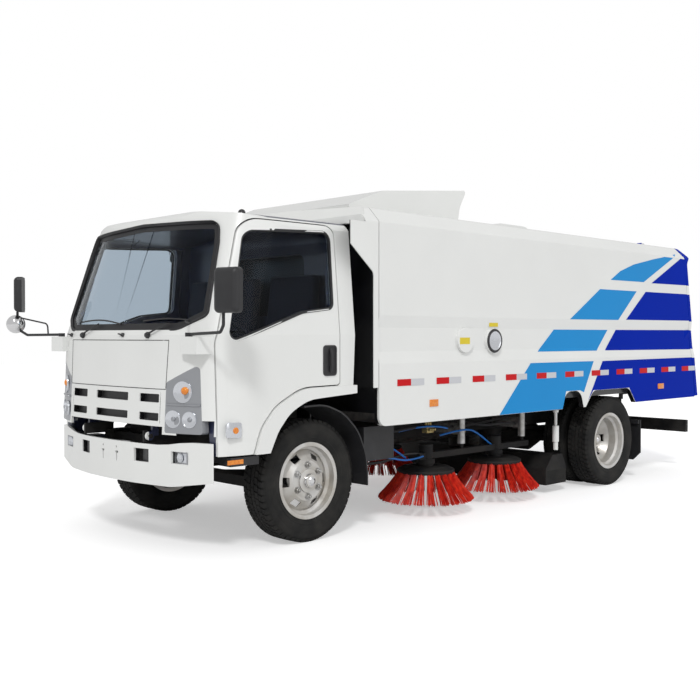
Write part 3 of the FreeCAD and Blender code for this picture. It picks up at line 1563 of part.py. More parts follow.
def roof_hood():
    """Wedge-shaped air hood on the roof, and the low round vent behind it."""
    start = bodyFront
    roof = size.bodyRoof
    outline = [
        (start - 20, roof - 60),
        (start - 20, roof - 4),
        (start - 385, roof + 132, 60),
        (start - 1420, roof + 240, 20),
        (start - 1330, roof + 90, 260),
        (start - 1300, roof - 60),
    ]
    hood = prism("hoodWedge", "XZ", outline, -790, 1580)
    vent = [
        (frontAxle - 2620, roof - 60),
        (frontAxle - 2900, roof + 75, 120),
        (frontAxle - 3330, roof + 75, 160),
        (frontAxle - 3560, roof - 60),
    ]
    dome = prism("ventDome", "XZ", vent, -420, 840)
    skirt = prism("hoodTrimEnd", "YZ", body_end(measure(-1) * 0.5), frontAxle - 6200, 6000)
    return node("roof_hoods", group("roofHoods", cut("hoodSeated", hood, skirt), cut("ventSeated", dome, skirt)))


# Lifting gear for the body

barrelPivot = (frontAxle - 4550, 0, 590)
rodPin = (frontAxle - 3550, 0, 800)


def tip_cylinder():
    """Tipping cylinder between the frame and the hopper floor: a barrel and its rod."""
    dx = rodPin[0].number - barrelPivot[0].number
    dz = rodPin[2] - barrelPivot[2]
    length = math.hypot(dx, dz)
    turn = Rotation(Vector(0, 1, 0), 90 - math.degrees(math.atan2(dz, dx)))
    direction = Vector(dx, 0, dz).normalize()

    def along(name, distance, radius, span):
        solid = doc.addObject("Part::Cylinder", name)
        bind(solid, Radius=radius, Height=span)
        place(solid, barrelPivot[0] + direction.x * distance, 0, measure(barrelPivot[2] + direction.z * distance),
              turn=turn)
        return solid

    tube = along("barrelTube", 40, 50, length - 200)
    bore = along("barrelBore", 120, 26.5, length)
    eye = cylinder("barrelEye", (barrelPivot[0], -38, barrelPivot[2]), 42, 76, "Y")
    pin = cylinder("barrelPin", (barrelPivot[0], -76, barrelPivot[2]), 16, 152, "Y")
    node("tip_barrel", cut("tipBarrel", fuse("barrelBlank", tube, eye, pin), bore))
    rod = along("rodBar", 130, 26, length - 130)
    rodEye = cylinder("rodEye", (rodPin[0], -37, rodPin[2]), 36, 74, "Y")
    rodEyeHole = cylinder("rodEyeHole", (rodPin[0], -60, rodPin[2]), 14.5, 120, "Y")
    node("tip_rod", cut("tipRod", fuse("tipRodBlank", rod, rodEye), rodEyeHole))


# Brushes, their carriers and the suction nozzle

def brush(name, x, side):
    """Disc brush: a plate with a ring of splayed tufts, patterned about its shaft."""
    body = doc.addObject("PartDesign::Body", name + "Body")
    root = size.brushRootRadius
    plate = [
        (0, size.brushPlateBottom),
        (root + 20, size.brushPlateBottom),
        (root + 20, size.brushPlateBottom + 18),
        (root - 20, size.brushPlateTop),
        (60, size.brushPlateTop),
        (60, size.brushPlateTop + 20),
        (0, size.brushPlateTop + 20),
    ]
    turned(body, "XZ", plate, name + "Plate", "V_Axis")
    reach = size.brushTipRadius - root - 8
    fall = size.brushPlateBottom - size.brushTip
    tuft = body.newObject("PartDesign::AdditiveWedge", name + "Tuft")
    slant = math.degrees(math.atan2(fall.number, reach.number))
    length = math.hypot(fall.number, reach.number)
    tuft.Ymin = -14
    tuft.Ymax = length - 10
    tuft.Xmin = -15
    tuft.Xmax = 15
    tuft.Zmin = -13
    tuft.Zmax = 13
    tuft.X2min = -46
    tuft.X2max = 46
    tuft.Z2min = -17
    tuft.Z2max = 17
    lean = Rotation(Vector(0, 1, 0), slant).multiply(Rotation(Vector(0, 0, 1), -90))
    tuft.Placement = Placement(Vector((root - 12).number, 0, size.brushPlateBottom.number + 4), lean)
    doc.recompute()
    pattern = body.newObject("PartDesign::PolarPattern", name + "Ring")
    pattern.Originals = [tuft]
    shaft = next(item for item in body.Origin.OriginFeatures if item.Role == "Z_Axis")
    pattern.Axis = (shaft, [""])
    pattern.Angle = 360
    bind(pattern, Occurrences=size.tuftCount)
    body.Tip = pattern
    place(body, x, size.brushTrack * side / 2, 0)
    return node(name, body)


def brushes():
    for end, back in (("front", size.brushFrontBack), ("rear", size.brushRearBack)):
        for hand, side in (("left", 1), ("right", -1)):
            brush(f"brush_{end}_{hand}", frontAxle - back, side)


POST_STATIONS = (1965, 2845)


def brush_carriers():
    """Beam over each side's two discs, with their motors, hung on two sliding rods."""
    y = size.brushTrack / 2
    low = size.brushPlateTop + 20 + size.seatGap + 40
    front = frontAxle - size.brushFrontBack + 120
    rear = frontAxle - 2900
    beam = box("carrierBeam", (rear, y - 40, low), (front - rear, 80, 50))
    pieces = [beam]
    for name, back in (("Front", size.brushFrontBack), ("Rear", size.brushRearBack)):
        x = frontAxle - back
        pieces.append(cylinder(f"motor{name}", (x, y, low - 40), 75, 40))
        pieces.append(cylinder(f"motorCan{name}", (x, y, low), 60, 120))
    for number, back in enumerate(POST_STATIONS):
        pieces.append(cylinder(f"liftRod{number}", (frontAxle - back, y, low), 18, 250))
    left = node("brush_carrier_left", fuse("carrierLeft", *pieces))
    node("brush_carrier_right", mirror("carrierRight", left))


def lift_cylinders():
    """Upright lift cylinders for the brush carriers, on brackets from the rails."""
    y = size.brushTrack / 2
    pieces = []
    for number, back in enumerate(POST_STATIONS):
        x = frontAxle - back
        tube = cylinder(f"liftTube{number}", (x, y, 520), 32, 240)
        bore = cylinder(f"liftBore{number}", (x, y, 500), 18 + size.seatGap, 300)
        bracket = box(f"liftBracket{number}", (x - 30, halfFrame, 600), (60, y - halfFrame, 90))
        pieces.append(cut(f"liftCylinder{number}", fuse(f"liftBlank{number}", tube, bracket), bore))
    left = group("liftLeft", *pieces)
    return node("lift_cylinders", pair("liftCylinders", left))


def suction_nozzle():
    """Wide suction box ahead of the rear wheels on a skirt, open below, with two rising ducts."""
    wall = size.nozzleWall
    front = frontAxle - size.nozzleFrontBack
    outline = [
        (front, size.nozzleBottom),
        (front, size.nozzleBottom + 150, 40),
        (front - 110, size.nozzleTop, 30),
        (front - size.nozzleLength + 60, size.nozzleTop, 30),
        (front - size.nozzleLength, size.nozzleBottom + 150, 40),
        (front - size.nozzleLength, size.nozzleBottom),
    ]
    blank = prism("nozzleBlank", "XZ", outline, -size.nozzleHalfWidth, size.nozzleHalfWidth * 2)
    innerOutline = [
        (front - wall, size.nozzleBottom - 50),
        (front - wall, size.nozzleBottom + 146, 32),
        (front - 114, size.nozzleTop - wall, 22),
        (front - size.nozzleLength + 64, size.nozzleTop - wall, 22),
        (front - size.nozzleLength + wall, size.nozzleBottom + 146, 32),
        (front - size.nozzleLength + wall, size.nozzleBottom - 50),
    ]
    hollow = prism("nozzleHollow", "XZ", innerOutline, -size.nozzleHalfWidth + wall,
                   (size.nozzleHalfWidth - wall) * 2)
    ducts = []
    bores = []
    for side in (1, -1):
        y = size.ductTrack * side / 2
        ducts.append(cylinder(f"duct{side + 1}", (ductX, y, size.nozzleTop - 5), size.ductRadius,
                              size.hopperFloor - size.nozzleTop - 15))
        bores.append(cylinder(f"ductBore{side + 1}", (ductX, y, size.nozzleTop - 40),
                              size.ductRadius - wall, 700))
    skirtTop = size.nozzleBottom + size.skirtHeight
    below = box("nozzleBelow", (front - 600, -1200, 0), (900, 2400, skirtTop))
    hood = cut("nozzleHood", fuse("nozzleWhole", blank, *ducts), hollow, below, *bores)
    node("nozzle_skirt", cut("nozzleSkirt", common("skirtBlank", blank, below), hollow))
    return node("suction_nozzle", hood)


frame_rails()
front_axle()
rear_axle()
leaf_springs()
engine_block()
drive_line()
radiator()
fuel_tank()
battery_box()
auxiliary_engine()
front_wheel()
rear_wheels()
knuckles()
cab()
dashboard()
seats()
steering_wheel()
mirrors()
roof_marker()
front_bumper()
chassis_lamps()
front_mudguards()
rear_mudguards()
tail_bar()
front_shroud()
hopper_shell()
rear_door()
roof_hood()
tip_cylinder()
brushes()
brush_carriers()
lift_cylinders()
suction_nozzle()
doc.recompute()

failed = [item.Name for item in doc.Objects if {"Invalid", "Error"} & set(item.State)]
for name, piece in nodes.items():
    if piece.Shape.isNull() or not piece.Shape.isValid() or piece.Shape.Volume <= 0:
        failed.append(name)
if failed:
    raise SystemExit("Failed: " + ", ".join(failed))

os.makedirs("parts", exist_ok=True)
for name, piece in nodes.items():
    piece.Shape.exportStep(f"parts/{name}.step")
print(len(nodes), "sub-parts written")
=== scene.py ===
import math

import bmesh
import bpy
from mathutils import Matrix, Vector
from mathutils.bvhtree import BVHTree


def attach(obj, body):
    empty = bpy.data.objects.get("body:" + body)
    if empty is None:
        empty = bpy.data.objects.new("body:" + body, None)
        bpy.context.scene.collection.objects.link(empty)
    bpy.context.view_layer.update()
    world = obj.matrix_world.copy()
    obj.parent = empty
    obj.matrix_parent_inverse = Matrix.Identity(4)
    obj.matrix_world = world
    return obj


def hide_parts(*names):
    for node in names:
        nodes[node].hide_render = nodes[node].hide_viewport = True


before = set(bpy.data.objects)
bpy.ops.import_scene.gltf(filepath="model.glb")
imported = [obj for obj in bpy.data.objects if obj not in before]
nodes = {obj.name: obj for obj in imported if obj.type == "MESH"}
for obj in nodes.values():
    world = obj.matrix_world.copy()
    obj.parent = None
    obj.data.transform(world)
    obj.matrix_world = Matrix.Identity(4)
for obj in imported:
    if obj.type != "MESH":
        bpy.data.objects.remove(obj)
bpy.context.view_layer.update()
print("frame loaded")

axleX = 2.2025  # front axle, from the truck's middle
wheelbase = 3.815
rearX = axleX - wheelbase
axleHeight = 0.43
bodySide = 1.125  # the sweeper body's side, where no ray meets it
cabForm = {"belt": 1.45, "half": 1.035, "lean": 0.0916}  # the side leans in above the belt
hands = ("Left", "Right")


def mmx(ahead):
    # a distance ahead of the front axle, given in mm
    return axleX + ahead / 1000


# materials

def nodeMaterial(name, colour, roughness, metallic=0.0, **sockets):
    material = bpy.data.materials.new(name)
    material.use_nodes = True
    shader = material.node_tree.nodes["Principled BSDF"]
    shader.inputs["Base Color"].default_value = (*colour, 1)
    shader.inputs["Roughness"].default_value = roughness
    shader.inputs["Metallic"].default_value = metallic
    for socket, value in sockets.items():
        shader.inputs[socket.replace("_", " ")].default_value = value
    material.diffuse_color = (*colour, 1)
    return material


def addNode(material, kind, links=None, **values):
    tree = material.node_tree
    node = tree.nodes.new(kind)
    for key, value in values.items():
        if hasattr(node, key):
            setattr(node, key, value)
        else:
            node.inputs[key.replace("_", " ")].default_value = value
    for socket, source in (links or {}).items():
        tree.links.new(source, node.inputs[socket])
    return node


def objectPoint(material):
    coordinates = addNode(material, "ShaderNodeTexCoord")
    return coordinates.outputs["Object"]


def mottle(material, colourA, colourB, scale, detail=4, low=0.35, high=0.7, roughA=None, roughB=None):
    # slow colour change over the surface, and roughness with it
    shader = material.node_tree.nodes["Principled BSDF"]
    point = objectPoint(material)
    noise = addNode(material, "ShaderNodeTexNoise", {"Vector": point}, Scale=scale, Detail=detail)
    ramp = addNode(material, "ShaderNodeValToRGB", {"Fac": noise.outputs["Fac"]})
    ramp.color_ramp.elements[0].position = low
    ramp.color_ramp.elements[1].position = high
    ramp.color_ramp.elements[0].color = (*colourA, 1)
    ramp.color_ramp.elements[1].color = (*colourB, 1)
    material.node_tree.links.new(ramp.outputs["Color"], shader.inputs["Base Color"])
    if roughA is not None:
        spread = addNode(material, "ShaderNodeMapRange", {"Value": noise.outputs["Fac"]},
                         To_Min=roughA, To_Max=roughB)
        material.node_tree.links.new(spread.outputs["Result"], shader.inputs["Roughness"])


def grain(material, scale, strength, distance=0.001):
    # fine bumps
    shader = material.node_tree.nodes["Principled BSDF"]
    noise = addNode(material, "ShaderNodeTexNoise", {"Vector": objectPoint(material)}, Scale=scale, Detail=3)
    bump = addNode(material, "ShaderNodeBump", {"Height": noise.outputs["Fac"]}, Strength=strength,
                   Distance=distance)
    material.node_tree.links.new(bump.outputs["Normal"], shader.inputs["Normal"])


def paint(name, colour, roughness=0.32, dust=0.03, shine=0.5):
    material = nodeMaterial(name, colour, roughness, Coat_Weight=shine, Coat_Roughness=0.08,
                            Specular_IOR_Level=shine)
    dull = tuple(c * (1 - dust) for c in colour)
    mottle(material, dull, colour, 1.7, roughA=roughness - 0.05, roughB=roughness + 0.08)
    return material


whiteColour = (0.79, 0.798, 0.782)
whitePaint = paint("whitePaint", whiteColour)
lightBlue = paint("lightBluePaint", (0.014, 0.262, 0.625), 0.38, shine=0.08)
darkBlue = paint("darkBluePaint", (0.0006, 0.020, 0.37), 0.45, 0.06, shine=0.02)
rubber = nodeMaterial("tyreRubber", (0.014, 0.014, 0.013), 0.8, Specular_IOR_Level=0.3)
mottle(rubber, (0.009, 0.009, 0.009), (0.024, 0.023, 0.021), 9, roughA=0.7, roughB=0.92)
seal = nodeMaterial("windowSeal", (0.012, 0.012, 0.014), 0.5)
grain(seal, 300, 0.15)
blackPlastic = nodeMaterial("blackPlastic", (0.020, 0.020, 0.022), 0.45)
mottle(blackPlastic, (0.017, 0.017, 0.019), (0.023, 0.023, 0.025), 8)
grain(blackPlastic, 420, 0.25, 0.0006)
chassisBlack = nodeMaterial("chassisBlack", (0.012, 0.012, 0.013), 0.6, Specular_IOR_Level=0.3)
mottle(chassisBlack, (0.006, 0.006, 0.007), (0.026, 0.024, 0.022), 6, roughA=0.5, roughB=0.85)
castGrey = nodeMaterial("castGrey", (0.07, 0.068, 0.064), 0.65, 0.6)
mottle(castGrey, (0.03, 0.029, 0.027), (0.10, 0.095, 0.088), 14, roughA=0.5, roughB=0.8)
rimSilver = nodeMaterial("rimSilver", (0.60, 0.585, 0.555), 0.36, 0.55)
mottle(rimSilver, (0.46, 0.43, 0.38), (0.66, 0.65, 0.63), 7, low=0.25, high=0.62, roughA=0.3, roughB=0.5)
chrome = nodeMaterial("brightChrome", (0.78, 0.78, 0.79), 0.12, 1.0)
zincYellow = nodeMaterial("yellowZinc", (0.50, 0.39, 0.16), 0.38, 0.85)
mottle(zincYellow, (0.34, 0.25, 0.09), (0.60, 0.50, 0.24), 22, roughA=0.3, roughB=0.5)
steel = nodeMaterial("machinedSteel", (0.52, 0.52, 0.52), 0.34, 0.9)
mottle(steel, (0.36, 0.35, 0.33), (0.60, 0.60, 0.60), 18, roughA=0.25, roughB=0.5)
cabGlass = nodeMaterial("cabGlass", (0.84, 0.91, 0.96), 0.0, IOR=1.12, Transmission_Weight=1.0)
sideGlass = nodeMaterial("sideGlass", (0.40, 0.45, 0.50), 0.0, IOR=1.16, Transmission_Weight=1.0)
reflector = nodeMaterial("lampReflector", (0.72, 0.74, 0.78), 0.16, 0.9)
lampGrey = nodeMaterial("lampSurround", (0.34, 0.35, 0.37), 0.28, 0.5)
amber = nodeMaterial("amberLens", (0.80, 0.24, 0.012), 0.18, Coat_Weight=0.6)
mottle(amber, (0.70, 0.18, 0.010), (0.86, 0.30, 0.02), 60)
redTape = nodeMaterial("redTape", (0.56, 0.006, 0.010), 0.4, Specular_IOR_Level=0.15)
whiteTape = nodeMaterial("whiteTape", (0.56, 0.57, 0.60), 0.35)
for tape in (redTape, whiteTape):
    grain(tape, 260, 0.3, 0.0005)
labelYellow = nodeMaterial("labelYellow", (0.70, 0.55, 0.02), 0.4)
bristleRed = nodeMaterial("bristleRed", (0.72, 0.028, 0.014), 0.42)
mottle(bristleRed, (0.50, 0.010, 0.008), (0.82, 0.055, 0.022), 26, roughA=0.32, roughB=0.5)
hoseBlue = nodeMaterial("hoseBlue", (0.012, 0.16, 0.55), 0.35)
trimDark = nodeMaterial("cabinTrim", (0.020, 0.024, 0.045), 0.7)
mottle(trimDark, (0.016, 0.019, 0.036), (0.026, 0.031, 0.056), 5)
seatCloth = nodeMaterial("seatCloth", (0.020, 0.024, 0.045), 0.9, Sheen_Weight=0.1)
grain(seatCloth, 500, 0.25, 0.0008)
print("materials ready")


def sumOf(material, terms, extra=0.0):
    # weighted sum of values
    total = None
    for source, weight in terms:
        step = addNode(material, "ShaderNodeMath", {0: source}, operation="MULTIPLY_ADD")
        step.inputs[1].default_value = weight
        step.inputs[2].default_value = extra
        if total is not None:
            material.node_tree.links.new(total, step.inputs[2])
        total = step.outputs[0]
    return total


def joined(material, mask, value, operation):
    # the mask so far, with one more value
    if mask is None:
        return value
    return addNode(material, "ShaderNodeMath", {0: mask, 1: value}, operation=operation).outputs[0]


def overlay(material, mask, base, colour):
    # the colour where the mask is 1, the base elsewhere
    tree = material.node_tree
    mix = addNode(material, "ShaderNodeMix", {0: mask, 6: base}, data_type="RGBA")
    mix.inputs[7].default_value = (*colour, 1)
    tree.links.new(mix.outputs[2], tree.nodes["Principled BSDF"].inputs["Base Color"])


noBelt = 9.0  # above every point
noLean = {"front": 0.0, "below": 0.0, "side": 0.0}


def insideOut(name, outside, inner, planes, belt=noBelt, leans=noLean, front=0.0):
    # one node carries two colours: paint outside, and the inner colour on the faces behind all of these
    # planes (real trim or paint for some nodes, painted shade for others)
    material = outside.copy()
    material.name = name
    shader = material.node_tree.nodes["Principled BSDF"]
    paintLink = shader.inputs["Base Color"].links[0].from_socket
    parts = addNode(material, "ShaderNodeSeparateXYZ", {"Vector": objectPoint(material)})
    x, z = parts.outputs["X"], parts.outputs["Z"]
    side = addNode(material, "ShaderNodeMath", {0: parts.outputs["Y"]}, operation="ABSOLUTE").outputs[0]
    rise = sumOf(material, [(z, 1.0)], -belt)
    above = addNode(material, "ShaderNodeMath", {0: rise}, operation="MAXIMUM").outputs[0]
    under = addNode(material, "ShaderNodeMath", {0: rise}, operation="MINIMUM").outputs[0]
    for test in (above, under):
        test.node.inputs[1].default_value = 0.0
    ahead = sumOf(material, [(x, 1.0), (above, leans["front"]), (under, leans["below"])], -front)
    out = sumOf(material, [(side, 1.0), (above, leans["side"])])
    mask = None
    for aheadShare, outShare, upShare, limit in planes:
        value = sumOf(material, [(ahead, aheadShare), (out, outShare), (z, upShare)])
        test = addNode(material, "ShaderNodeMath", {0: value}, operation="LESS_THAN")
        test.inputs[1].default_value = limit
        mask = joined(material, mask, test.outputs[0], "MULTIPLY")
    overlay(material, mask, paintLink, inner)
    return material


skin = 0.030  # how far behind the outside the trim begins
cabLeans = {"front": 0.3168, "below": 0.048, "side": cabForm["lean"]}
# near-black painted shade for hollows and gaps behind the panels, where only shade falls
paintedShadeBlack = (0.006, 0.006, 0.007)
cabPlanes = ((0.9995, 0.0304, 0, 0.9815 - skin), (0.9187, 0.3949, 0, 1.1433 - skin),
             (0.2414, 0.9704, 0, 1.1541 - skin), (0, 1, 0, cabForm["half"] - skin), (-1, 0, 0, 0.363 - skin),
             (0, 0, 1, 2.262))
cabPaint = insideOut("cabPaint", whitePaint, (0.024, 0.030, 0.070), cabPlanes, cabForm["belt"], cabLeans,
                     axleX)
# near-black painted shade on the cab shell's faces behind the grille
grillePlanes = ((0.9995, 0.0304, 0, 0.9745), (0, 1, 0, 0.575), (0, 0, 1, 1.075), (0, 0, -1, -0.87))
cabPaint = insideOut("cabPaintGrilleShade", cabPaint, paintedShadeBlack, grillePlanes, cabForm["belt"], cabLeans, axleX)
shellPlanes = ((0, 1, 0, 1.105), (0, 0.7234, 0.6905, 2.365), (0, 0, 1, 2.372))
bayPlanes = ((0, 0, -1, -0.80), (1, 0, 0, 1.70), (-1, 0, 0, 3.4))
# grey on the body's inner faces along its middle, above z 0.80
bodyPaint = insideOut("bodyPaint", whitePaint, (0.16, 0.16, 0.155), shellPlanes + bayPlanes)
# near-black painted shade on the body's inner faces at its front, by the cab
bodyPaint = insideOut("bodyPaintFrontShade", bodyPaint, paintedShadeBlack, shellPlanes + ((-1, 0, 0, -1.65),))
# near-black painted shade on the body's inner faces low down round the rear wheel arch
archPlanes = ((0, 1, 0, 1.1215), (0, 0, 1, 1.06), (1, 0, 0, -0.70))
bodyPaint = insideOut("bodyPaintArchShade", bodyPaint, paintedShadeBlack, archPlanes)
# white paint outside, near-black painted shade on the shroud's inner faces
shroudPlanes = ((0, 1, 0, 1.118), (0, 0.7234, 0.6905, 2.374), (0, 0, 1, 2.418))
shroudPaintAndShade = insideOut("shroudPaintAndShade", whitePaint, paintedShadeBlack, shroudPlanes)
# white paint outside, near-black painted shade on the bumper's faces behind its front, seen in its openings
bumperPlanes = ((0.9992, 0.04, 0, 1.0012), (0.9842, 0.1772, 0, 1.037), (0.952, 0.308, 0, 1.084),
                (0, 1, 0, 0.960))
bumperPaintAndShade = insideOut("bumperPaintAndShade", whitePaint, (0.012, 0.012, 0.013), bumperPlanes, front=axleX)
mirrorPlanes = ((0, 1, 0, 0.956), (0, 0, 1, 1.4405))
mirrorFinish = insideOut("mirrorFinish", blackPlastic, whiteColour, mirrorPlanes)


def bandedPaint(name):
    # rear door: dark blue with the white bands carried round from the sides
    material = darkBlue.copy()
    material.name = name
    shader = material.node_tree.nodes["Principled BSDF"]
    blue = shader.inputs["Base Color"].links[0].from_socket
    parts = addNode(material, "ShaderNodeSeparateXYZ", {"Vector": objectPoint(material)})
    mask = None
    for low, high in ((1.211, 1.307), (1.504, 1.600), (1.888, 1.983)):
        band = addNode(material, "ShaderNodeMath", {0: parts.outputs["Z"]}, operation="COMPARE")
        band.inputs[1].default_value = (low + high) / 2
        band.inputs[2].default_value = (high - low) / 2
        mask = joined(material, mask, band.outputs[0], "ADD")
    overlay(material, mask, blue, whiteColour)
    return material


nodeFinishes = (
    (cabPaint, "cab_shell door_left door_right"), (bodyPaint, "hopper_shell"),
    (bandedPaint("rearDoorPaint"), "rear_door"), (whitePaint, "roof_hoods"), (shroudPaintAndShade, "front_shroud"),
    (bumperPaintAndShade, "front_bumper"), (cabGlass, "windscreen rear_window"),
    (sideGlass, "door_glass_left door_glass_right"), (lampGrey, "headlamps chassis_lamps"),
    (blackPlastic, "grille_insert roof_marker front_mudguards rear_mudguards battery_box"),
    (trimDark, "dashboard steering_wheel"), (mirrorFinish, "mirrors"), (seatCloth, "seats"),
    (chassisBlack, "fuel_tank tail_bar frame_rails front_axle rear_axle leaf_springs radiator tip_barrel"),
    (chassisBlack, "brush_carrier_left brush_carrier_right suction_nozzle"),
    (castGrey, "engine_block drive_line auxiliary_engine knuckle_left knuckle_right"),
    (rimSilver, "front_rim_left front_rim_right rear_rims_left rear_rims_right"),
    (chrome, "tip_rod"), (steel, "lift_cylinders"), (rubber, "nozzle_skirt"),
)
for finish, names in nodeFinishes:
    for name in names.split():
        for slot in nodes[name].material_slots:
            slot.material = finish
print("frame nodes finished")


# making pieces

def newPiece(name, mesh, material, body, smooth=None):
    piece = bpy.data.objects.new(name, mesh)
    bpy.context.scene.collection.objects.link(piece)
    if material is not None and not mesh.materials:
        mesh.materials.append(material)
    if smooth is not None:
        mesh.shade_smooth()
        mesh.set_sharp_from_angle(angle=math.radians(smooth))
    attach(piece, body)
    return piece


def meshOf(name, points, faces):
    mesh = bpy.data.meshes.new(name)
    mesh.from_pydata([tuple(p) for p in points], [], faces)
    mesh.update()
    return mesh


def tidyMesh(mesh, bevel=0.0, segments=2):
    work = bmesh.new()
    work.from_mesh(mesh)
    bmesh.ops.remove_doubles(work, verts=work.verts, dist=1e-6)
    bmesh.ops.recalc_face_normals(work, faces=work.faces)
    if bevel > 0:
        sharp = [e for e in work.edges if len(e.link_faces) == 2 and e.calc_face_angle(0) > 0.6]
        bmesh.ops.bevel(work, geom=sharp, offset=bevel, segments=segments, affect="EDGES", profile=0.5,
                        clamp_overlap=True)
    work.to_mesh(mesh)
    work.free()
    return mesh


def gathered(meshes):
    # the points and faces of these meshes, numbered as one
    points, faces = [], []
    for mesh in meshes:
        start = len(points)
        points += [v.co.copy() for v in mesh.vertices]
        faces += [[start + i for i in p.vertices] for p in mesh.polygons]
    return points, faces


def joinMeshes(name, meshes):
    points, faces = gathered(meshes)
    for mesh in meshes:
        bpy.data.meshes.remove(mesh)
    return meshOf(name, points, faces)


def boxMesh(low, high, bevel=0.0, segments=2):
    x0, y0, z0 = low
    x1, y1, z1 = high
    points = [(x, y, z) for x in (x0, x1) for y in (y0, y1) for z in (z0, z1)]
    faces = [(0, 1, 3, 2), (4, 6, 7, 5), (0, 4, 5, 1), (2, 3, 7, 6), (0, 2, 6, 4), (1, 5, 7, 3)]
    return tidyMesh(meshOf("box", points, faces), bevel, segments)


def roundCorners(corners, steps=5):
    # (u, v) or (u, v, radius) corners to a closed list of points
    points = []
    count = len(corners)
    for index, corner in enumerate(corners):
        here = Vector(corner[:2])
        if len(corner) < 3:
            points.append(here)
            continue
        before = (Vector(corners[index - 1][:2]) - here).normalized()
        after = (Vector(corners[(index + 1) % count][:2]) - here).normalized()
        half = before.angle(after) / 2
        reach = corner[2] / math.tan(half)
        centre = here + (before + after).normalized() * (corner[2] / math.sin(half))
        first = here + before * reach - centre
        last = here + after * reach - centre
        turn = first.angle_signed(last)
        for step in range(steps + 1):
            angle = -turn * step / steps
            points.append(centre + Matrix.Rotation(angle, 2) @ first)
    return points


def along(axis, u, v, depth):
    if axis == "Y":
        return Vector((u, depth, v))
    if axis == "X":
        return Vector((depth, u, v))
    return Vector((u, v, depth))


def prismMesh(outline, axis, low, high, bevel=0.0, segments=2):
    points = [along(axis, p[0], p[1], depth) for depth in (low, high) for p in outline]
    count = len(outline)
    faces = [tuple(range(count))[::-1], tuple(range(count, 2 * count))]
    faces += [(i, (i + 1) % count, count + (i + 1) % count, count + i) for i in range(count)]
    return tidyMesh(meshOf("prism", points, faces), bevel, segments)


def latheMesh(profile, axis, centre, steps=48, closed=True):
    # profile: (radius, offset along the axis)
    points, faces = [], []
    count = len(profile)
    for step in range(steps):
        angle = 2 * math.pi * step / steps
        for radius, offset in profile:
            a, b = radius * math.cos(angle), radius * math.sin(angle)
            place = {"Y": (a, offset, b), "X": (offset, a, b), "Z": (a, b, offset)}[axis]
            points.append(Vector(place) + Vector(centre))
    spans = count if closed else count - 1
    for step in range(steps):
        for i in range(spans):
            j = (i + 1) % count
            n = (step + 1) % steps
            faces.append((step * count + i, step * count + j, n * count + j, n * count + i))
    return tidyMesh(meshOf("lathe", points, faces))


def tubeMesh(path, radius):
    curve = bpy.data.curves.new("tube", "CURVE")
    curve.dimensions = "3D"
    spline = curve.splines.new("NURBS")
    spline.points.add(len(path) - 1)
    for point, place in zip(spline.points, path):
        point.co = (*place, 1)
    spline.order_u = 3
    spline.use_endpoint_u = True
    curve.resolution_u = 6
    curve.bevel_depth = radius
    curve.bevel_resolution = 2
    curve.use_fill_caps = True
    holder = bpy.data.objects.new("tube", curve)
    bpy.context.scene.collection.objects.link(holder)
    bpy.context.view_layer.update()
    mesh = bpy.data.meshes.new_from_object(holder.evaluated_get(bpy.context.evaluated_depsgraph_get()))
    bpy.data.objects.remove(holder)
    bpy.data.curves.remove(curve)
    return tidyMesh(mesh)


def mirrored(mesh, name):
    other = mesh.copy()
    other.name = name
    other.transform(Matrix.Scale(-1, 4, (0, 1, 0)))
    other.flip_normals()
    return other


def sidePieces(name, mesh, material, bodies, smooth=None):
    # the same piece on the left and the right
    other = mirrored(mesh, name + "Right")
    leftBody, rightBody = (bodies, bodies) if isinstance(bodies, str) else bodies
    return [newPiece(name + "Left", mesh, material, leftBody, smooth),
            newPiece(name + "Right", other, material, rightBody, smooth)]


def surfaceOf(*names):
    return BVHTree.FromPolygons(*gathered([nodes[name].data for name in names]))


sideSkin = surfaceOf("cab_shell", "door_left", "door_glass_left")
frontSkin = surfaceOf("cab_shell", "windscreen", "headlamps", "door_left", "door_right")
glassSkin = surfaceOf("windscreen")
bodySkin = surfaceOf("hopper_shell", "rear_door")


def sideAt(x, z, skin, fallback=1.03):
    hit = skin.ray_cast(Vector((x, 3, z)), Vector((0, -1, 0)))
    return hit[0].y if hit[0] else fallback


def frontAt(y, z, skin=None, fallback=3.1):
    hit = (skin or frontSkin).ray_cast(Vector((6, y, z)), Vector((-1, 0, 0)))
    return hit[0].x if hit[0] else fallback


def cabSide(z):
    # the cab's flat side: upright to the belt, then leaning in
    return cabForm["half"] - max(0, z - cabForm["belt"]) * cabForm["lean"]


def offsetLoop(loop, distance):
    # moves a closed loop outwards by distance, whichever way it runs
    count = len(loop)
    area = sum(a.x * b.y - b.x * a.y for a, b in zip(loop, loop[1:] + loop[:1]))
    turn = 1 if area > 0 else -1
    moved = []
    for i in range(count):
        before = loop[i] - loop[i - 1]
        after = loop[(i + 1) % count] - loop[i]
        if before.length < 1e-7:
            before = after
        if after.length < 1e-7:
            after = before
        direction = (before.normalized() + after.normalized()).normalized()
        normal = Vector((direction.y, -direction.x)) * turn
        moved.append(loop[i] + normal * distance)
    return moved


def densify(loop, longest=0.05):
    points = []
    for i, here in enumerate(loop):
        there = loop[(i + 1) % len(loop)]
        parts = max(1, int((there - here).length / longest))
        points += [here.lerp(there, k / parts) for k in range(parts)]
    return points


def ringMesh(loop, inner, outer, place, top, bottom):
    # a flat band round a closed loop; place(u, v) gives the surface point and its outward direction
    insideLoop = offsetLoop(loop, inner)
    outsideLoop = offsetLoop(loop, outer)
    points, faces = [], []
    count = len(loop)
    for edge in (insideLoop, outsideLoop):
        for height in (top, bottom):
            for p in edge:
                spot, normal = place(p.x, p.y)
                points.append(spot + normal * height)
    for i in range(count):
        j = (i + 1) % count
        a, b, c, d = 0, count, 2 * count, 3 * count
        faces += [(a + i, a + j, c + j, c + i), (b + i, d + i, d + j, b + j),
                  (a + i, b + i, b + j, a + j), (c + i, c + j, d + j, d + i)]
    return tidyMesh(meshOf("ring", points, faces))


# Geometry Nodes for what repeats

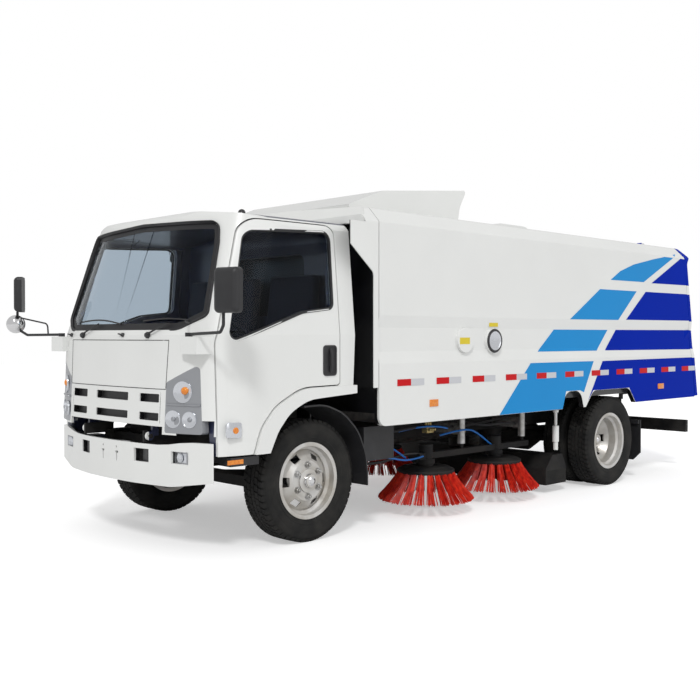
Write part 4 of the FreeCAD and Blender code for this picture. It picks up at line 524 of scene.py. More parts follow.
def newTree(name, inputs):
    tree = bpy.data.node_groups.new(name, "GeometryNodeTree")
    tree.is_modifier = True
    tree.interface.new_socket(name="Geometry", in_out="OUTPUT", socket_type="NodeSocketGeometry")
    tree.interface.new_socket(name="Geometry", in_out="INPUT", socket_type="NodeSocketGeometry")
    for label, kind in inputs:
        tree.interface.new_socket(name=label, in_out="INPUT", socket_type=kind)
    return tree, tree.nodes.new("NodeGroupInput"), tree.nodes.new("NodeGroupOutput")


def feed(tree, node, values):
    # numbers or links into the node's first inputs
    for index, value in enumerate(values):
        if isinstance(value, (int, float)):
            node.inputs[index].default_value = value
        elif value is not None:
            tree.links.new(value, node.inputs[index])
    return node.outputs[0]


def mathNode(tree, operation, first, second=None):
    node = tree.nodes.new("ShaderNodeMath")
    node.operation = operation
    return feed(tree, node, (first, second))


def vectorOf(tree, x=0.0, y=0.0, z=0.0):
    return feed(tree, tree.nodes.new("ShaderNodeCombineXYZ"), (x, y, z))


def finishTree(tree, start, end, pointsSocket, rotation):
    instances = tree.nodes.new("GeometryNodeInstanceOnPoints")
    tree.links.new(pointsSocket, instances.inputs["Points"])
    tree.links.new(start.outputs["Geometry"], instances.inputs["Instance"])
    if rotation is not None:
        turn = tree.nodes.new("FunctionNodeEulerToRotation")
        tree.links.new(rotation, turn.inputs[0])
        tree.links.new(turn.outputs[0], instances.inputs["Rotation"])
    realize = tree.nodes.new("GeometryNodeRealizeInstances")
    tree.links.new(instances.outputs["Instances"], realize.inputs["Geometry"])
    finish = tree.nodes.new("GeometryNodeSetMaterial")
    tree.links.new(realize.outputs["Geometry"], finish.inputs["Geometry"])
    tree.links.new(start.outputs["Finish"], finish.inputs["Material"])
    tree.links.new(finish.outputs["Geometry"], end.inputs["Geometry"])


def placedPoints(tree, start, count, position):
    # one point for each copy, placed from the centre
    line = tree.nodes.new("GeometryNodeMeshLine")
    tree.links.new(count, line.inputs["Count"])
    placed = tree.nodes.new("GeometryNodeSetPosition")
    tree.links.new(line.outputs["Mesh"], placed.inputs["Geometry"])
    tree.links.new(position, placed.inputs["Position"])
    tree.links.new(start.outputs["Centre"], placed.inputs["Offset"])
    return placed.outputs["Geometry"]


def polar(tree, angle, radius):
    return [mathNode(tree, "MULTIPLY", mathNode(tree, part, angle), radius) for part in ("COSINE", "SINE")]


def buildRing():
    # copies round the Y axis: the piece's own +X points away from the axis
    tree, start, end = newTree("ringRoundAxle", [
        ("Count", "NodeSocketInt"), ("Radius", "NodeSocketFloat"), ("Centre", "NodeSocketVector"),
        ("First Turn", "NodeSocketFloat"), ("Finish", "NodeSocketMaterial")])
    index = tree.nodes.new("GeometryNodeInputIndex").outputs[0]
    share = mathNode(tree, "DIVIDE", index, start.outputs["Count"])
    angle = mathNode(tree, "ADD", mathNode(tree, "MULTIPLY", share, 2 * math.pi), start.outputs["First Turn"])
    across, up = polar(tree, angle, start.outputs["Radius"])
    points = placedPoints(tree, start, start.outputs["Count"], vectorOf(tree, across, 0.0, up))
    rotation = vectorOf(tree, 0.0, mathNode(tree, "MULTIPLY", angle, -1.0), 0.0)
    finishTree(tree, start, end, points, rotation)
    return tree


def buildRow():
    # copies in a straight row
    tree, start, end = newTree("straightRow", [
        ("Count", "NodeSocketInt"), ("Step", "NodeSocketVector"), ("First", "NodeSocketVector"),
        ("Finish", "NodeSocketMaterial")])
    line = tree.nodes.new("GeometryNodeMeshLine")
    tree.links.new(start.outputs["Count"], line.inputs["Count"])
    tree.links.new(start.outputs["Step"], line.inputs["Offset"])
    tree.links.new(start.outputs["First"], line.inputs["Start Location"])
    finishTree(tree, start, end, line.outputs["Mesh"], None)
    return tree


def randomNode(tree, low, high, seed):
    node = tree.nodes.new("FunctionNodeRandomValue")
    node.data_type = "FLOAT"
    node.inputs[2].default_value = low
    node.inputs[3].default_value = high
    node.inputs[8].default_value = seed
    return node.outputs[1]


def buildBristles():
    # tufts of bristles round the shaft; the bristle's own +X points away from the shaft
    tree, start, end = newTree("brushTufts", [
        ("Tufts", "NodeSocketInt"), ("Bristles", "NodeSocketInt"), ("Root Radius", "NodeSocketFloat"),
        ("Tuft Turn", "NodeSocketFloat"), ("Centre", "NodeSocketVector"), ("Finish", "NodeSocketMaterial")])
    total = mathNode(tree, "MULTIPLY", start.outputs["Tufts"], start.outputs["Bristles"])
    index = tree.nodes.new("GeometryNodeInputIndex").outputs[0]
    tuft = mathNode(tree, "FLOOR", mathNode(tree, "DIVIDE", mathNode(tree, "ADD", index, 0.5),
                                            start.outputs["Bristles"]))
    share = mathNode(tree, "DIVIDE", tuft, start.outputs["Tufts"])
    middle = mathNode(tree, "MULTIPLY", share, 2 * math.pi)
    spread = mathNode(tree, "MULTIPLY", randomNode(tree, -1.0, 1.0, 3), start.outputs["Tuft Turn"])
    angle = mathNode(tree, "ADD", middle, spread)
    radius = mathNode(tree, "ADD", start.outputs["Root Radius"], randomNode(tree, -0.013, 0.013, 5))
    across, aside = polar(tree, angle, radius)
    position = vectorOf(tree, across, aside, randomNode(tree, -0.004, 0.004, 7))
    points = placedPoints(tree, start, total, position)
    fan = mathNode(tree, "MULTIPLY", spread, 1.55)
    heading = mathNode(tree, "ADD", mathNode(tree, "ADD", middle, fan), randomNode(tree, -0.06, 0.06, 11))
    rotation = vectorOf(tree, randomNode(tree, -0.05, 0.05, 13), randomNode(tree, -0.055, 0.075, 17), heading)
    finishTree(tree, start, end, points, rotation)
    return tree


ringTree = buildRing()
rowTree = buildRow()
bristleTree = buildBristles()


def repeated(name, base, tree, values, material, body, smooth=None, hand=False):
    holder = bpy.data.objects.new(name, base)
    bpy.context.scene.collection.objects.link(holder)
    modifier = holder.modifiers.new("repeat", "NODES")
    modifier.node_group = tree
    sockets = {item.name: item.identifier for item in tree.interface.items_tree
               if item.item_type == "SOCKET" and item.in_out == "INPUT"}
    for label, value in {**values, "Finish": material}.items():
        modifier[sockets[label]] = value
    bpy.context.view_layer.update()
    mesh = bpy.data.meshes.new_from_object(holder.evaluated_get(bpy.context.evaluated_depsgraph_get()))
    bpy.data.objects.remove(holder)
    if hand:
        mesh.transform(Matrix.Scale(-1, 4, (0, 1, 0)))
        mesh.flip_normals()
    mesh.name = name
    return newPiece(name, mesh, material, body, smooth)


# camera

camera = {
    "place": (6.70094, 5.93451, 1.44328),
    "yaw": -2.34710,
    "pitch": -0.014447,
    "lens": 49.35,
}
lookAlong = Vector((math.cos(camera["yaw"]) * math.cos(camera["pitch"]),
                    math.sin(camera["yaw"]) * math.cos(camera["pitch"]), math.sin(camera["pitch"])))
cameraData = bpy.data.cameras.new("photoCamera")
cameraData.lens = camera["lens"]
cameraData.sensor_width = 36
cameraData.clip_end = 200
cameraObject = bpy.data.objects.new("photoCamera", cameraData)
rightward = lookAlong.cross(Vector((0, 0, 1))).normalized()
upward = rightward.cross(lookAlong)
turn = Matrix((rightward, upward, -lookAlong)).transposed().to_4x4()
cameraObject.matrix_world = Matrix.Translation(camera["place"]) @ turn
bpy.context.scene.collection.objects.link(cameraObject)
bpy.context.scene.camera = cameraObject


# graphics on the sweeper body

graphics = {
    "proud": 0.0008,
    "thickness": 0.0006,
    "cutHeights": (0.83, 0.9, 1.0, 1.1, 1.24, 1.285, 1.33, 1.42, 1.506, 1.55, 1.592, 1.7, 1.8, 1.873, 2.0,
                   2.1, 2.2, 2.26),
    "lightBlue": [
        [(-3.719, 1.982), (-3.90, 2.075), (-4.15, 2.150), (-4.55, 2.225), (-5.071, 2.308), (-4.352, 1.985)],
        [(-3.529, 1.887), (-4.213, 1.888), (-3.863, 1.600), (-3.017, 1.596)],
        [(-2.782, 1.502), (-3.690, 1.503), (-3.494, 1.307), (-2.529, 1.308)],
        [(-2.406, 1.211), (-3.420, 1.210), (-3.254, 0.925), (-3.190, 0.946), (-2.960, 0.946), (-2.902, 0.789),
         (-1.965, 0.789)],
    ],
    "darkBlue": [
        [(-5.222, 2.305), (-4.511, 1.980), (-5.262, 1.986)],
        [(-4.392, 1.889), (-4.010, 1.604), (-5.328, 1.609), (-5.280, 1.891)],
        [(-3.842, 1.504), (-3.641, 1.308), (-5.380, 1.302), (-5.346, 1.508)],
        [(-3.579, 1.208), (-3.330, 0.850), (-3.415, 0.937), (-4.075, 0.937), (-4.202, 0.789), (-5.468, 0.789),
         (-5.396, 1.215)],
    ],
}


def cutSheet(work, place, direction):
    everything = work.verts[:] + work.edges[:] + work.faces[:]
    bmesh.ops.bisect_plane(work, geom=everything, plane_co=place, plane_no=direction)


def panelMesh(outline, skin):
    # a thin sheet over the panel, following its folds
    work = bmesh.new()
    loop = [work.verts.new((x, 0, z)) for x, z in outline]
    work.faces.new(loop)
    for z in graphics["cutHeights"]:
        cutSheet(work, (0, 0, z), (0, 0, 1))
    for k in range(20):
        cutSheet(work, (axleX + (-0.5 - 0.25 * k), 0, 0), (1, 0, 0))
    bmesh.ops.triangulate(work, faces=work.faces[:])
    for vert in work.verts:
        vert.co.y = sideAt(vert.co.x, vert.co.z, skin, bodySide) + graphics["proud"]
    bmesh.ops.recalc_face_normals(work, faces=work.faces)
    if sum(f.normal.y for f in work.faces) < 0:
        bmesh.ops.reverse_faces(work, faces=work.faces)
    bmesh.ops.solidify(work, geom=work.faces[:], thickness=-graphics["thickness"])
    bmesh.ops.recalc_face_normals(work, faces=work.faces)
    mesh = bpy.data.meshes.new("panel")
    work.to_mesh(mesh)
    work.free()
    return mesh


for label, material in (("lightBlue", lightBlue), ("darkBlue", darkBlue)):
    sheets = [panelMesh([(axleX + x, z) for x, z in outline], bodySkin) for outline in graphics[label]]
    sidePieces(label + "Graphics", joinMeshes(label, sheets), material, "sweeper_body")
print("graphics done")

tape = {"count": 11, "first": -0.714, "step": -0.4455, "unit": 0.15, "low": 1.073, "height": 0.05}
for label, shift, material in (("red", 0, redTape), ("white", 1, whiteTape)):
    x0 = -tape["unit"] * shift
    for side, hand in enumerate(hands):
        strip = boxMesh((x0 - tape["unit"], -0.0007, 0), (x0, 0.0009, tape["height"]))
        repeated(f"{label}Tape{hand}", strip, rowTree,
                 {"Count": tape["count"], "Step": (tape["step"], 0, 0),
                  "First": (axleX + tape["first"], 1.1265, tape["low"])},
                 material, "sweeper_body", hand=side == 1)
print("tape done")


# tyres and wheels

tyre = {"radius": 0.430, "width": 0.235, "beadRadius": 0.2525, "pitches": 56, "groove": 0.010}


def carcassMesh(centre):
    r, h = tyre["radius"], tyre["width"] / 2
    base = r - tyre["groove"]
    half = [
        (tyre["beadRadius"], 0.084), (0.262, 0.092), (0.276, 0.098), (0.284, 0.104), (0.290, 0.108),
        (0.300, 0.112), (0.304, 0.1135), (0.308, 0.1120), (0.322, 0.1155), (0.340, h), (0.358, h),
        (0.360, h - 0.0012), (0.378, h - 0.0015), (0.392, h - 0.0035), (0.404, h - 0.008),
        (0.413, h - 0.0155),
        (base, h - 0.024), (base, 0.062), (base, 0.0), ]
    profile = half + [(radius, -offset) for radius, offset in reversed(half[:-1])]
    inner = [(tyre["beadRadius"] + 0.012, -0.070), (0.330, -0.096), (0.395, -0.088), (0.405, 0.0),
             (0.395, 0.088), (0.330, 0.096), (tyre["beadRadius"] + 0.012, 0.070)]
    return latheMesh(profile + inner, "Y", centre, steps=96)


def treadMesh():
    # one pitch of the tread at the top of the tyre, +X outwards, +Y across
    r, h = tyre["radius"], tyre["width"] / 2
    pitch = 2 * math.pi * r / tyre["pitches"]
    depth = tyre["groove"] + 0.002
    blocks = []
    for side in (1, -1):
        lugs = ((h - 0.024, 0.060, 0.0, 0.78), (0.055, 0.022, 0.35, 0.86))
        for outerY, innerY, shift, fill in lugs:
            width = pitch * fill / 2
            z0 = pitch * shift * side
            skew = pitch * 0.16 * side
            y0, y1 = side * innerY, side * outerY
            points = []
            for x in (-depth, 0):
                points += [Vector((x, y0, z0 - width + skew)), Vector((x, y1, z0 - width)),
                           Vector((x, y1, z0 + width)), Vector((x, y0, z0 + width + skew))]
            if outerY > 0.08:  # the shoulder lug runs down the sidewall's edge
                y2 = side * (h - 0.0055)
                points += [Vector((-0.024, y2, z0 - width)), Vector((-0.024, y2, z0 + width))]
                faces = [(0, 1, 2, 3), (4, 5, 6, 7), (0, 1, 5, 4), (2, 3, 7, 6), (3, 0, 4, 7),
                         (5, 8, 9, 6), (1, 8, 5), (2, 6, 9), (1, 2, 9, 8)]
            else:
                faces = [(0, 1, 2, 3), (4, 5, 6, 7), (0, 1, 5, 4), (1, 2, 6, 5), (2, 3, 7, 6), (3, 0, 4, 7)]
            blocks.append(tidyMesh(meshOf("block", points, faces)))
    width = pitch * 0.47
    blocks.append(boxMesh((-depth, -0.015, -width), (0, 0.015, width)))
    return joinMeshes("treadPitch", blocks)


frontBodies = ("front_wheel_left", "front_wheel_right")
rearBodies = ("rear_wheels_left", "rear_wheels_right")
rearTyres = ("rear_tyres_left", "rear_tyres_right")
wheelSets = [
    ("front", axleX, 0.8445, frontBodies, ("front_tyre_left", "front_tyre_right")),
    ("rearOuter", rearX, 0.9635, rearBodies, rearTyres),
    ("rearInner", rearX, 0.6885, rearBodies, rearTyres),
]
for label, x, y, bodies, replaced in wheelSets:
    centre = (x, y, axleHeight)
    carcasses = sidePieces(label + "Tyre", carcassMesh(centre), rubber, bodies, 30)
    for side, hand in enumerate(hands):
        tread = repeated(f"{label}Tread{hand}", treadMesh(), ringTree,
                         {"Count": tyre["pitches"], "Radius": tyre["radius"], "Centre": centre,
                          "First Turn": 0.03}, rubber, bodies[side], hand=side == 1)
        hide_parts(replaced[side])
        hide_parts(replaced[side])
print("tyres done")

wheelFittings = {"nuts": 6, "studCircle": 0.1125, "nutRadius": 0.0205, "frontFace": 0.0845, "rearFace": 0.011}


def nutMesh():
    r = wheelFittings["nutRadius"]
    hexagon = [(r * math.cos(math.radians(60 * k)), r * math.sin(math.radians(60 * k))) for k in range(6)]
    nut = prismMesh(hexagon, "Y", 0.0, 0.019, 0.0022, 1)
    washer = latheMesh([(0.0, -0.002), (0.026, -0.002), (0.026, 0.003), (0.0, 0.003)], "Y", (0, 0, 0), 20,
                       False)
    stud = latheMesh([(0.0, 0.0), (0.011, 0.0), (0.011, 0.031), (0.009, 0.033), (0.0, 0.033)], "Y", (0, 0, 0),
                     14, False)
    return joinMeshes("nut", [nut, washer, stud])


def capMesh(x, y, hubLength, radius):
    return latheMesh([
        (0.0, hubLength + 0.004), (radius * 0.32, hubLength + 0.004), (radius * 0.36, hubLength + 0.002),
        (radius * 0.62, hubLength - 0.002), (radius * 0.92, hubLength - 0.012), (radius, hubLength - 0.022),
        (radius, hubLength - 0.05), (radius + 0.012, hubLength - 0.052), (radius + 0.012, hubLength - 0.062),
        (0.0, hubLength - 0.062)], "Y", (x, y, axleHeight), 40, False)


for label, x, y, bodies, face, hub in (
    ("front", axleX, 0.8445, frontBodies, wheelFittings["frontFace"], 0.132),
    ("rear", rearX, 0.826, rearBodies, wheelFittings["rearFace"], 0.114),
):
    for side, hand in enumerate(hands):
        repeated(f"{label}Nuts{hand}", nutMesh(), ringTree,
                 {"Count": wheelFittings["nuts"], "Radius": wheelFittings["studCircle"],
                  "Centre": (x, y + face, axleHeight), "First Turn": 0.5}, steel, bodies[side],
                 30, hand=side == 1)
    sidePieces(label + "HubCap", capMesh(x, y, hub, 0.052), chrome, bodies, 35)
print("wheels done")


# disc brushes

brushes = {
    "track": 0.72, "tufts": 22, "bristles": 34, "rootRadius": 0.212, "tuftTurn": 0.075,
    "length": 0.286, "slant": 52, "bend": 14, "rootHeight": 0.338,
}


def bristleMesh():
    steps = 4
    points, faces = [], []
    x, z = 0.0, 0.0
    pieceLength = brushes["length"] / steps
    for step in range(steps + 1):
        thick = 0.0036 * (1 - 0.25 * step / steps)
        points += [Vector((x, thick, z)), Vector((x - thick * 0.8, -thick * 0.5, z - thick * 0.8)),
                   Vector((x + thick * 0.8, -thick * 0.5, z + thick * 0.8))]
        angle = math.radians(brushes["slant"] + brushes["bend"] * (0.5 - step / steps))
        x += pieceLength * math.cos(angle)
        z -= pieceLength * math.sin(angle)
    for step in range(steps):
        for i in range(3):
            j = (i + 1) % 3
            faces.append((step * 3 + i, step * 3 + j, step * 3 + 3 + j, step * 3 + 3 + i))
    faces += [(0, 1, 2), (steps * 3 + 2, steps * 3 + 1, steps * 3)]
    return tidyMesh(meshOf("bristle", points, faces))


def brushHeadMesh(x, side):
    y = brushes["track"] * side
    return latheMesh([
        (0.0, 0.392), (0.058, 0.392), (0.062, 0.374), (0.19, 0.372), (0.235, 0.350), (0.238, 0.340),
        (0.232, 0.322), (0.200, 0.318), (0.150, 0.330), (0.0, 0.330)], "Z", (x, y, 0), 44, False)


for end, back in (("front", 1.5), ("rear", 2.43)):
    for hand, side in (("left", 1), ("right", -1)):
        node = f"brush_{end}_{hand}"
        x = axleX - back
        tufts = repeated(f"bristles_{end}_{hand}", bristleMesh(), bristleTree,
                         {"Tufts": brushes["tufts"], "Bristles": brushes["bristles"],
                          "Root Radius": brushes["rootRadius"], "Tuft Turn": brushes["tuftTurn"],
                          "Centre": (x, brushes["track"] * side, brushes["rootHeight"])},
                         bristleRed, node)
        head = newPiece(f"brushHead_{end}_{hand}", brushHeadMesh(x, side), chassisBlack, node,
                        35)
        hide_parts(node)
        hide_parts(node)
print("brushes done")


# cab glass surrounds

windowCorners = [(mmx(-157), 1.640, 0.045), (mmx(130), 1.607, 0.25), (mmx(758), 1.395, 0.045),
                 (mmx(568), 2.145, 0.095), (mmx(-167), 2.178, 0.065)]
screenHalf = [(0.690, 1.484, 0.2), (0.880, 1.580, 0.04), (0.815, 2.062, 0.15), (0.778, 2.200, 0.07)]
screenCorners = screenHalf + [(0.0, 2.228)] + [(-y, z, r) for y, z, r in reversed(screenHalf)]
doorSkin = surfaceOf("door_left")
windowCentre = Vector((mmx(230), 1.85))


def placeSide(x, z):
    lean = cabForm["lean"] if z > cabForm["belt"] else 0
    return Vector((x, cabSide(z), z)), Vector((0, 1, lean)).normalized()


def placeSeal(x, z):
    # on the door's skin, read just outside the glass
    here = Vector((x, z))
    away = (here - windowCentre).normalized()
    for step in (0.012, 0.006, 0.001):
        beside = here + away * step
        y = sideAt(beside.x, beside.y, doorSkin, None)
        if y is not None:
            break
    else:
        y = sideAt(x, z, sideSkin, cabSide(z))
    return Vector((x, y, z)), Vector((0, 1, cabForm["lean"])).normalized()


windowLoop = densify(roundCorners(windowCorners), 0.06)
sidePieces("doorWindowSeal", ringMesh(windowLoop, -0.010, 0.010, placeSeal, 0.002, -0.014), seal,
           ("door_left", "door_right"), 50)
screenLoop = densify(roundCorners(screenCorners), 0.05)


def screenDepth(y, z):
    # depth of the glass, read a little inside its edge
    inside = Vector((y, z)).lerp(Vector((0, 1.84)), 0.06)
    hit = frontAt(y, z, glassSkin, 0)
    near = frontAt(inside.x, inside.y, glassSkin, 3.0)
    return hit or near


def placeFrit(y, z):
    return Vector((screenDepth(y, z), y, z)), Vector((1, 0, 0.33)).normalized()


newPiece("windscreenBorder", ringMesh(screenLoop, -0.045, -0.002, placeFrit, 0.0012, 0.0002), seal, "cab",
         60)
newPiece("windscreenSeal", ringMesh(screenLoop, -0.010, 0.009, placeFrit, 0.012, -0.004), seal, "cab",
         50)
print("glass surrounds done")


# front of the cab

def hoodLine(points, name, width=0.006):
    path = [Vector((frontAt(y, z) + 0.0002, y, z)) for y, z in points]
    meshes = []
    for a, b in zip(path, path[1:]):
        direction = (b - a).normalized()
        out = Vector((1, 0, 0))
        across = direction.cross(out).normalized() * width / 2
        quad = [a - across, a + across, b + across, b - across]
        front = [p + out * 0.0009 for p in quad]
        back = [p - out * 0.002 for p in quad]
        meshes.append(tidyMesh(meshOf("seam", front + back, [
            (0, 1, 2, 3), (7, 6, 5, 4), (0, 4, 5, 1), (1, 5, 6, 2), (2, 6, 7, 3), (3, 7, 4, 0)])))
    return joinMeshes(name, meshes)


def spaced(a, b, parts):
    return [(a[0] + (b[0] - a[0]) * k / parts, a[1] + (b[1] - a[1]) * k / parts) for k in range(parts + 1)]


# thin black strips along the hood's panel gaps: painted shade in the gaps
seams = {"top": 1.416, "edge": 0.631, "foot": 1.10, "taper": 0.012}
edge, footEdge, foot = seams["edge"], seams["edge"] - seams["taper"], seams["foot"]
outline = (spaced((-edge, seams["top"]), (edge, seams["top"]), 14),
           spaced((edge, seams["top"]), (footEdge, foot), 4),
           spaced((-edge, seams["top"]), (-footEdge, foot), 4),
           spaced((-footEdge, foot - 0.005), (footEdge, foot - 0.005), 14))
newPiece("hoodGapShade", joinMeshes("hoodGapShade", [hoodLine(points, "line", 0.005) for points in outline]), seal,
         "cab")

wipers = {"pivots": (-0.44, 0.42), "height": 1.450, "bladeLength": 0.62}
for number, pivotY in enumerate(wipers["pivots"]):
    x0 = frontAt(pivotY, wipers["height"])
    parts = [latheMesh([(0, -0.01), (0.022, -0.01), (0.022, 0.012), (0.014, 0.024), (0, 0.024)], "X",
                       (x0, pivotY, wipers["height"]), 20, False)]
    end = (pivotY + 0.20, 1.530)
    elbow = (frontAt(*end, glassSkin, x0) + 0.022, *end)
    parts.append(tubeMesh([(x0 + 0.016, pivotY, wipers["height"]),
                           (x0 + 0.020, pivotY + 0.08, wipers["height"] + 0.035), elbow], 0.006))
    blade = []
    for k in range(9):
        share = k / 8
        y = end[0] - 0.25 + wipers["bladeLength"] * share * 0.96 - 0.05
        z = 1.545 + 0.022 * math.sin(math.pi * share) - 0.018 * share
        blade.append((frontAt(y, z, glassSkin, x0) + 0.012, y, z))
    parts.append(tubeMesh(blade, 0.0055))
    newPiece(f"wiper{number}", joinMeshes("wiper", parts), blackPlastic, "cab", 40)
washers = {"across": (-0.66, 0.12), "height": 1.452}
for number, y in enumerate(washers["across"]):
    z = washers["height"]
    x0 = frontAt(y, z)
    nozzle = latheMesh([(0, -0.008), (0.013, -0.008), (0.015, 0.008), (0.008, 0.018), (0, 0.018)], "X",
                       (x0, y, z), 16, False)
    jet = tubeMesh([(x0 + 0.010, y, z), (x0 + 0.014, y - 0.02, 1.458), (x0 + 0.014, y - 0.042, 1.459)], 0.005)
    newPiece(f"washerNozzle{number}", joinMeshes("nozzle", [nozzle, jet]), blackPlastic, "cab",
             40)

roundMirror = {"place": (axleX + 1.063, -1.338, 1.538), "radius": 0.0726}
ball = []
for step in range(13):
    angle = math.radians(4 + 86 * step / 12)
    ball.append((roundMirror["radius"] * math.sin(angle), -roundMirror["radius"] * math.cos(angle)))
ball[0] = (0.0, -roundMirror["radius"])
ball += [(roundMirror["radius"] - 0.003, 0.0), (0.0, 0.0)]
cap = latheMesh(ball, "X", (0, 0, 0), 40, False)
cap.transform(Matrix.Translation(roundMirror["place"]) @ Matrix.Rotation(math.radians(215), 4, "Z"))
newPiece("roundMirrorGlass", cap, chrome, "cab", 60)

# behind the bumper's openings
x0, y, z = axleX + 0.908, 0.715, 0.651
housing = boxMesh((x0 - 0.03, y - 0.064, z - 0.033), (x0 + 0.008, y + 0.064, z + 0.033), 0.006)
dish = latheMesh([(0, 0.010), (0.012, 0.0105), (0.024, 0.013), (0.030, 0.018), (0.032, 0.014), (0, 0.006)],
                 "X", (x0, y, z), 28, False)
sidePieces("fogLamp", joinMeshes("fogLamp", [housing, dish]), reflector, "chassis", 40)
print("cab front done")


# headlamps

lamp = {"turn": 23.3, "divider": 0.998,
        "bowls": ((0.762, 1.082, 0.066), (0.694, 0.905, 0.054), (0.818, 0.905, 0.050))}
lampSkin = surfaceOf("headlamps")


def lampPiece(y, z, profile):
    # a turned piece on the lamp's slanting face
    piece = latheMesh(profile, "X", (0, 0, 0), 36, False)
    piece.transform(Matrix.Rotation(math.radians(lamp["turn"]), 4, "Z"))
    piece.transform(Matrix.Translation((frontAt(y, z, lampSkin, 3.05), y, z)))
    return piece


dishes = []
for y, z, r in lamp["bowls"]:
    dishes.append(lampPiece(y, z, [(0, 0.0012), (r * 0.35, 0.0016), (r * 0.7, 0.0032), (r * 0.94, 0.0068),
                                   (r, 0.0088), (r * 1.06, 0.0084), (r * 1.09, -0.004), (0, -0.004)]))
sidePieces("headlampDishes", joinMeshes("dishes", dishes), reflector, "cab", 40)
bulbs = [lampPiece(y, z, [(0, 0.014), (0.010, 0.0125), (0.015, 0.007), (0.016, 0.001), (0, 0.001)])
         for y, z, r in lamp["bowls"][1:]]
sidePieces("headlampBulbs", joinMeshes("bulbs", bulbs), lampGrey, "cab", 40)
amberBulb = lampPiece(0.775, 1.090, [(0, 0.020), (0.014, 0.018), (0.024, 0.010), (0.026, 0.001), (0, 0.001)])
sidePieces("indicatorBulb", amberBulb, amber, "cab", 40)
bar = []
for share in range(7):
    y = 0.634 + 0.256 * share / 6
    bar.append((frontAt(y, lamp["divider"], lampSkin, 3.05) + 0.002, y, lamp["divider"]))
sidePieces("headlampDivider", tubeMesh(bar, 0.008), lampGrey, "cab", 40)
print("headlamps done")


# cab sides

doors = ("door_left", "door_right")
handle = {"x": (mmx(-178), mmx(-50)), "z": (1.165, 1.380), "corner": 0.025, "gripAhead": 0.062,
          "grip": ((1.037, 1.192), (1.052, 1.215), (1.054, 1.275), (1.052, 1.330), (1.037, 1.354))}
(x0, x1), (z0, z1) = handle["x"], handle["z"]
loop = roundCorners([(x, z, handle["corner"]) for x, z in ((x0, z0), (x1, z0), (x1, z1), (x0, z1))])
rim = ringMesh(loop, -0.014, 0.0, placeSide, 0.006, -0.002)
dish = prismMesh(offsetLoop(loop, -0.013), "Y", 1.0345, 1.0365)
grip = tubeMesh([(x0 + handle["gripAhead"], y, z) for y, z in handle["grip"]], 0.010)
sidePieces("doorHandle", joinMeshes("handle", [rim, dish, grip]), blackPlastic, doors, 40)

marker = {"x": (mmx(672), mmx(796)), "z": (0.785, 0.893)}
(x0, x1), (z0, z1) = marker["x"], marker["z"]
loop = roundCorners([(x0, z0, 0.014), (x1, z0 + 0.010, 0.02), (x1, z1, 0.02), (x0, z1 - 0.006, 0.014)])
sidePieces("sideMarkerBase", prismMesh(loop, "Y", 1.034, 1.046, 0.004), reflector, doors, 40)
bulb = latheMesh([(0.0, 0.0), (0.022, 0.0), (0.020, 0.006), (0.0, 0.009)], "Y", (mmx(722), 1.045, 0.838), 24,
                 False)
sidePieces("sideMarkerBulb", bulb, amber, doors, 40)
strip = boxMesh((mmx(650), 1.0295, 0.618), (mmx(778), 1.0335, 0.648), 0.002)
sidePieces("sillReflector", strip, amber, "chassis")
print("cab sides done")


# seats

seat = {
    "floor": min(v.co.z for v in nodes["seats"].data.vertices), "places": ((0.27, 0.77), (-0.77, 0.09)),
    "cushion": [(0.345, 0.050, 0.03), (0.345, 0.128, 0.035), (-0.120, 0.108, 0.03), (-0.120, 0.050, 0.03)],
    "back": [(-0.115, 0.105, 0.03), (-0.245, 0.100, 0.03), (-0.278, 0.748, 0.03), (-0.205, 0.755, 0.03)],
}
for number, (low, high) in enumerate(seat["places"]):
    base = boxMesh((mmx(-245), low + 0.02, seat["floor"]), (mmx(320), high - 0.02, seat["floor"] + 0.052),
                   0.008)
    basePiece = newPiece(f"seatBase{number}", base, trimDark, "cab", 40)
    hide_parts("seats")
    for part in ("cushion", "back"):
        loop = roundCorners([(axleX + x, seat["floor"] + z, r) for x, z, r in seat[part]], 6)
        form = prismMesh(loop, "Y", low + 0.004, high - 0.004, 0.022, 4)
        pad = newPiece(f"seat{part.title()}{number}", form, seatCloth, "cab", 60)
        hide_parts("seats")
print("seats done")


# shroud roof

# white sheet over the shroud's sloping top, from the cab's roof up to the body
shroudRoof = {
    "profile": [(2.263, 0.377), (2.318, 0.381), (2.321, 0.411), (2.350, 0.433), (2.385, 0.459),
                (2.410, 0.477), (2.432, 0.492)],
    "thickness": 0.006, "eave": 2.275, "half": bodySide, "chamfer": (1.02, 2.385), "crown": 2.440,
    "proud": 0.004,
}


def roofHalf(z):
    # half the width of the body's section at this height
    if z <= shroudRoof["eave"]:
        return shroudRoof["half"]
    cornerY, cornerZ = shroudRoof["chamfer"]
    if z <= cornerZ:
        share = (z - shroudRoof["eave"]) / (cornerZ - shroudRoof["eave"])
        return shroudRoof["half"] + (cornerY - shroudRoof["half"]) * share
    return cornerY * (shroudRoof["crown"] - z) / (shroudRoof["crown"] - cornerZ)


points, faces = [], []
for z, back in shroudRoof["profile"]:
    for drop in (0.0, shroudRoof["thickness"]):
        half = roofHalf(z) - 0.001
        x = axleX - back + shroudRoof["proud"] - drop
        points += [Vector((x, -half, z - drop)), Vector((x, half, z - drop))]
for row in range(len(shroudRoof["profile"]) - 1):
    a = row * 4
    faces += [(a, a + 1, a + 5, a + 4), (a + 2, a + 6, a + 7, a + 3), (a, a + 4, a + 6, a + 2),
              (a + 1, a + 3, a + 7, a + 5)]
a = 4 * (len(shroudRoof["profile"]) - 1)
faces += [(0, 2, 3, 1), (a, a + 1, a + 3, a + 2)]
newPiece("shroudRoof", tidyMesh(meshOf("shroudRoof", points, faces)), whitePaint, "chassis", 30)
print("shroud roof done")


# underbody

